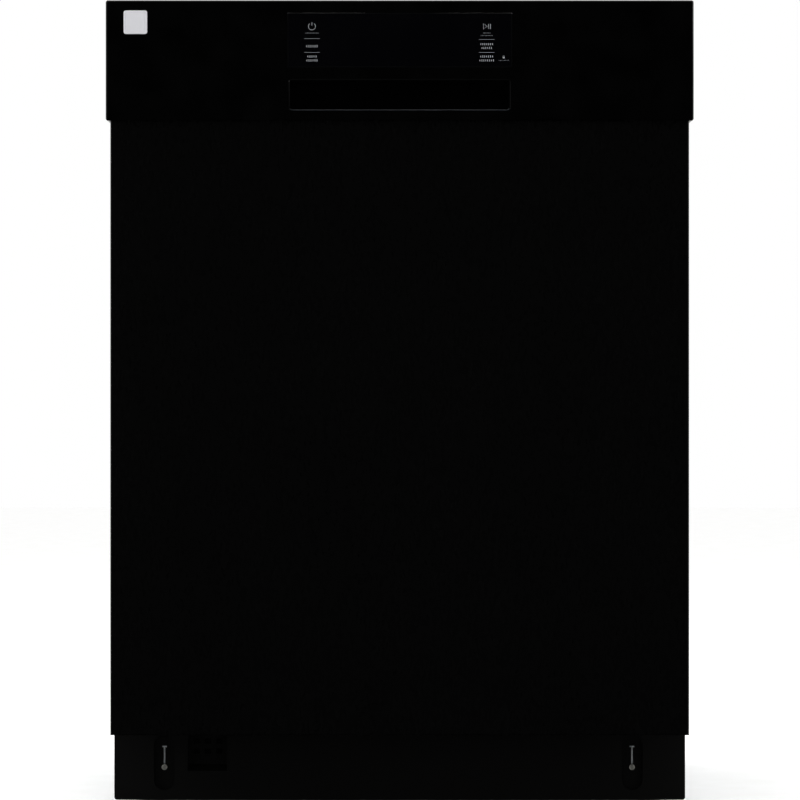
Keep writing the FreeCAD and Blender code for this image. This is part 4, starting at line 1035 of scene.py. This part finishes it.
@dataclass
class Blanket:
    """Quilted felt mat over the tub, with a thin edge and a window for the inlet box."""

    half_x: float = 284.0
    foot_z: float = 140.0
    top_z: float = 802.0
    corner: float = 41.0
    rows: tuple[float, ...] = (-224.0, -172.0, -60.0, 52.0, 157.0, 262.0)
    thick: float = 8.3
    seam_thick: float = 4.6
    edge_thick: float = 2.6
    divisions: int = 8
    stitch_pitch: float = 11.0
    stitch_length: float = 7.0
    thread: float = 0.6
    left_seams: tuple[float, ...] = (0.0, 131.0, 261.0, 392.0, 522.0, 653.0, 790.0)
    window_u: float = 392.0
    window_v: Pair = (-172.0, 52.0)
    seam_reach: float = 9.0
    edge_reach: float = 6.0
    ripple_size: float = 45.0
    ripple_height: float = 0.5
    ripple_margin: float = 15.0
    back_gap: float = 0.15

    def lengths(self) -> Triple:
        """Lengths along the arch of one side, one bend and the top."""
        return (self.top_z - self.corner - self.foot_z, self.corner * math.pi / 2,
                2 * (self.half_x - self.corner))

    def arch(self, distance: float) -> tuple[Vector, Vector]:
        """Place and outward direction at a distance along the arch from its left foot."""
        wall, bend, span = self.lengths()
        inner = self.half_x - self.corner
        if distance <= wall:
            return Vector((-self.half_x, 0, self.foot_z + distance)), -X
        if distance <= wall + bend:
            a = (distance - wall) / self.corner
            out = Vector((-math.cos(a), 0, math.sin(a)))
            return Vector((-inner, 0, self.top_z - self.corner)) + out * self.corner, out
        if distance <= wall + bend + span / 2 + 1e-6:
            return Vector((-inner + distance - wall - bend, 0, self.top_z)), Z
        place, out = self.arch(2 * wall + 2 * bend + span - distance)
        return Vector((-place.x, 0, place.z)), Vector((-out.x, 0, out.z))

    def cuts(self, lines: list[float]) -> list[float]:
        """Grid lines between seams, closer together near each seam."""
        made = []
        for a, b in zip(lines, lines[1:]):
            for k in range(self.divisions):
                made.append(a + (b - a) * (1 - math.cos(math.pi * k / self.divisions)) / 2)
        return made + [lines[-1]]

    def seams(self) -> list[float]:
        """Distances of the lengthwise seams along the arch, from one foot to the other."""
        wall, bend, span = self.lengths()
        total = 2 * wall + 2 * bend + span
        return [*self.left_seams, total / 2, *(total - s for s in reversed(self.left_seams))]

    def in_window(self, u: float, v: float) -> bool:
        """True inside the opening for the inlet box."""
        return u < self.window_u and self.window_v[0] < v < self.window_v[1]

    def thickness(self, u: float, v: float) -> float:
        """Mat thickness, pinched at seams and more at the edge."""
        seams = self.seams()
        seam = min(min(abs(u - s) for s in seams), min(abs(v - r) for r in self.rows))
        gap_u = max(u - self.window_u, 0.0)
        gap_v = max(self.window_v[0] - v, v - self.window_v[1], 0.0)
        edge = min(u, seams[-1] - u, v - self.rows[0], self.rows[-1] - v, math.hypot(gap_u, gap_v))
        full = self.thick - (self.thick - self.seam_thick) * math.exp(-(seam / self.seam_reach) ** 2)
        full -= (self.seam_thick - self.edge_thick) * math.exp(-(edge / self.edge_reach) ** 2)
        wave = noise.noise(Vector((u / self.ripple_size, v / self.ripple_size, 0.3)))
        ripple = wave * self.ripple_height * min(1.0, seam / self.ripple_margin)
        return min(full + ripple, self.thick + 0.2)

    def stitches(self) -> None:
        """Sews a running stitch along every seam."""
        shape = Shape()
        seams, inset = self.seams(), self.stitch_pitch / 2
        across = [(u, self.rows[0] + inset, 0.0, 1.0, self.rows[-1] - self.rows[0]) for u in seams[1:-1]]
        along = [(seams[0] + inset, v, 1.0, 0.0, seams[-1] - seams[0]) for v in self.rows[1:-1]]
        for u0, v0, du, dv, length in across + along:
            for k in range(int(length / self.stitch_pitch)):
                ends = []
                for t in (k * self.stitch_pitch, k * self.stitch_pitch + self.stitch_length):
                    u, v = u0 + du * t, v0 + dv * t
                    place, out = self.arch(u)
                    ends.append(place + out * (self.thickness(u, v) + 0.1) + Y * v)
                if not self.in_window(u - 1, v - 1) and not self.in_window(u + 1, v + 1):
                    shape.tube(ends, self.thread, 5)
        shape.piece("blanket_stitches", "thread", "cabinet", slot="felt")

    def build(self) -> None:
        """Builds both faces of the mat, its edges and its stitches."""
        us, vs = self.cuts(self.seams()), self.cuts(list(self.rows))
        shape = Shape()
        layer = len(us) * len(vs)
        for lift in (False, True):
            for u in us:
                place, out = self.arch(u)
                for v in vs:
                    off = self.thickness(u, v) if lift else self.back_gap
                    shape.points.append(place + out * off + Y * v)
        edges: list[tuple[int, int]] = []
        for i in range(len(us) - 1):
            for j in range(len(vs) - 1):
                if self.in_window((us[i] + us[i + 1]) / 2, (vs[j] + vs[j + 1]) / 2):
                    continue
                a, b = i * len(vs) + j, (i + 1) * len(vs) + j
                quad = [a, b, b + 1, a + 1]
                shape.faces.append(quad)
                shape.faces.append([layer + k for k in reversed(quad)])
                edges += [(quad[k], quad[(k + 1) % 4]) for k in range(4)]
        shared = set(edges)
        for a, b in edges:
            if (b, a) not in shared:
                shape.faces.append([b, a, layer + a, layer + b])
        self.stitches()
        made = shape.piece("quilted_blanket", "felt", "cabinet", ("insulation_blanket",), 60)


@dataclass
class Legs:
    """Four levelling legs with a moulded foot, a hexagon and a cut thread."""

    columns: tuple[tuple[str, float], ...] = (("left", -258), ("right", 258))
    rows: tuple[tuple[str, float], ...] = (("front", -196), ("rear", 262))
    pitch: float = 1.75
    crest: float = 5.95
    root: float = 5.3
    thread_z: Pair = (14.4, 60.2)

    def build(self) -> None:
        """Makes each leg."""
        foot = [(0.1, 0), (18.5, 0), (20, 1.2), (20, 3.4), (18.6, 5.2), (12, 6), (0.1, 6)]
        hexagon = [(8.6, 6.0), (9.9, 6.7), (9.9, 13.3), (8.6, 14.0)]
        thread = [(5.2, 13.8)]
        z, top = self.thread_z
        while z < top:
            thread += [(self.crest, z + self.pitch * 0.3), (self.crest, z + self.pitch * 0.42),
                       (self.root, z + self.pitch * 0.8)]
            z += self.pitch
        thread += [(5.0, 61.3), (4.2, 62.0)]
        for end, y in self.rows:
            for side, x in self.columns:
                shape = Shape()
                for profile, sides in ((foot, 48), (hexagon, 6), (thread, 24)):
                    shape.lathe(profile, (x, y, 0), Z, sides)
                name = f"leg_{end}_{side}"
                shape.piece(f"{name}_threaded", "zinc_plated", name, (name,), 25)


# ---- everything together
def dress_nodes() -> None:
    """Gives every CAD node the material of its slot in the record."""
    for part in frame["record"]["subparts"]:
        made = frame["nodes"][part["node"]]
        material = material_of(part["material_slot"])
        if not made.data.materials:
            made.data.materials.append(material)
        for held in made.material_slots:
            held.material = material
        LOG.info("%s dressed as %s", part["node"], material.name)


def main() -> None:
    """Builds the stage, the finishes and every piece."""
    logging.basicConfig(level=logging.INFO, format="%(message)s")
    Stage().build()
    dress_nodes()
    for part in (ConsoleFront(), AirInlet(), Racks(), *SPRAY_ARMS, DoorSeal(), Blanket(), Legs()):
        part.build()


if __name__ == "__main__":
    main()
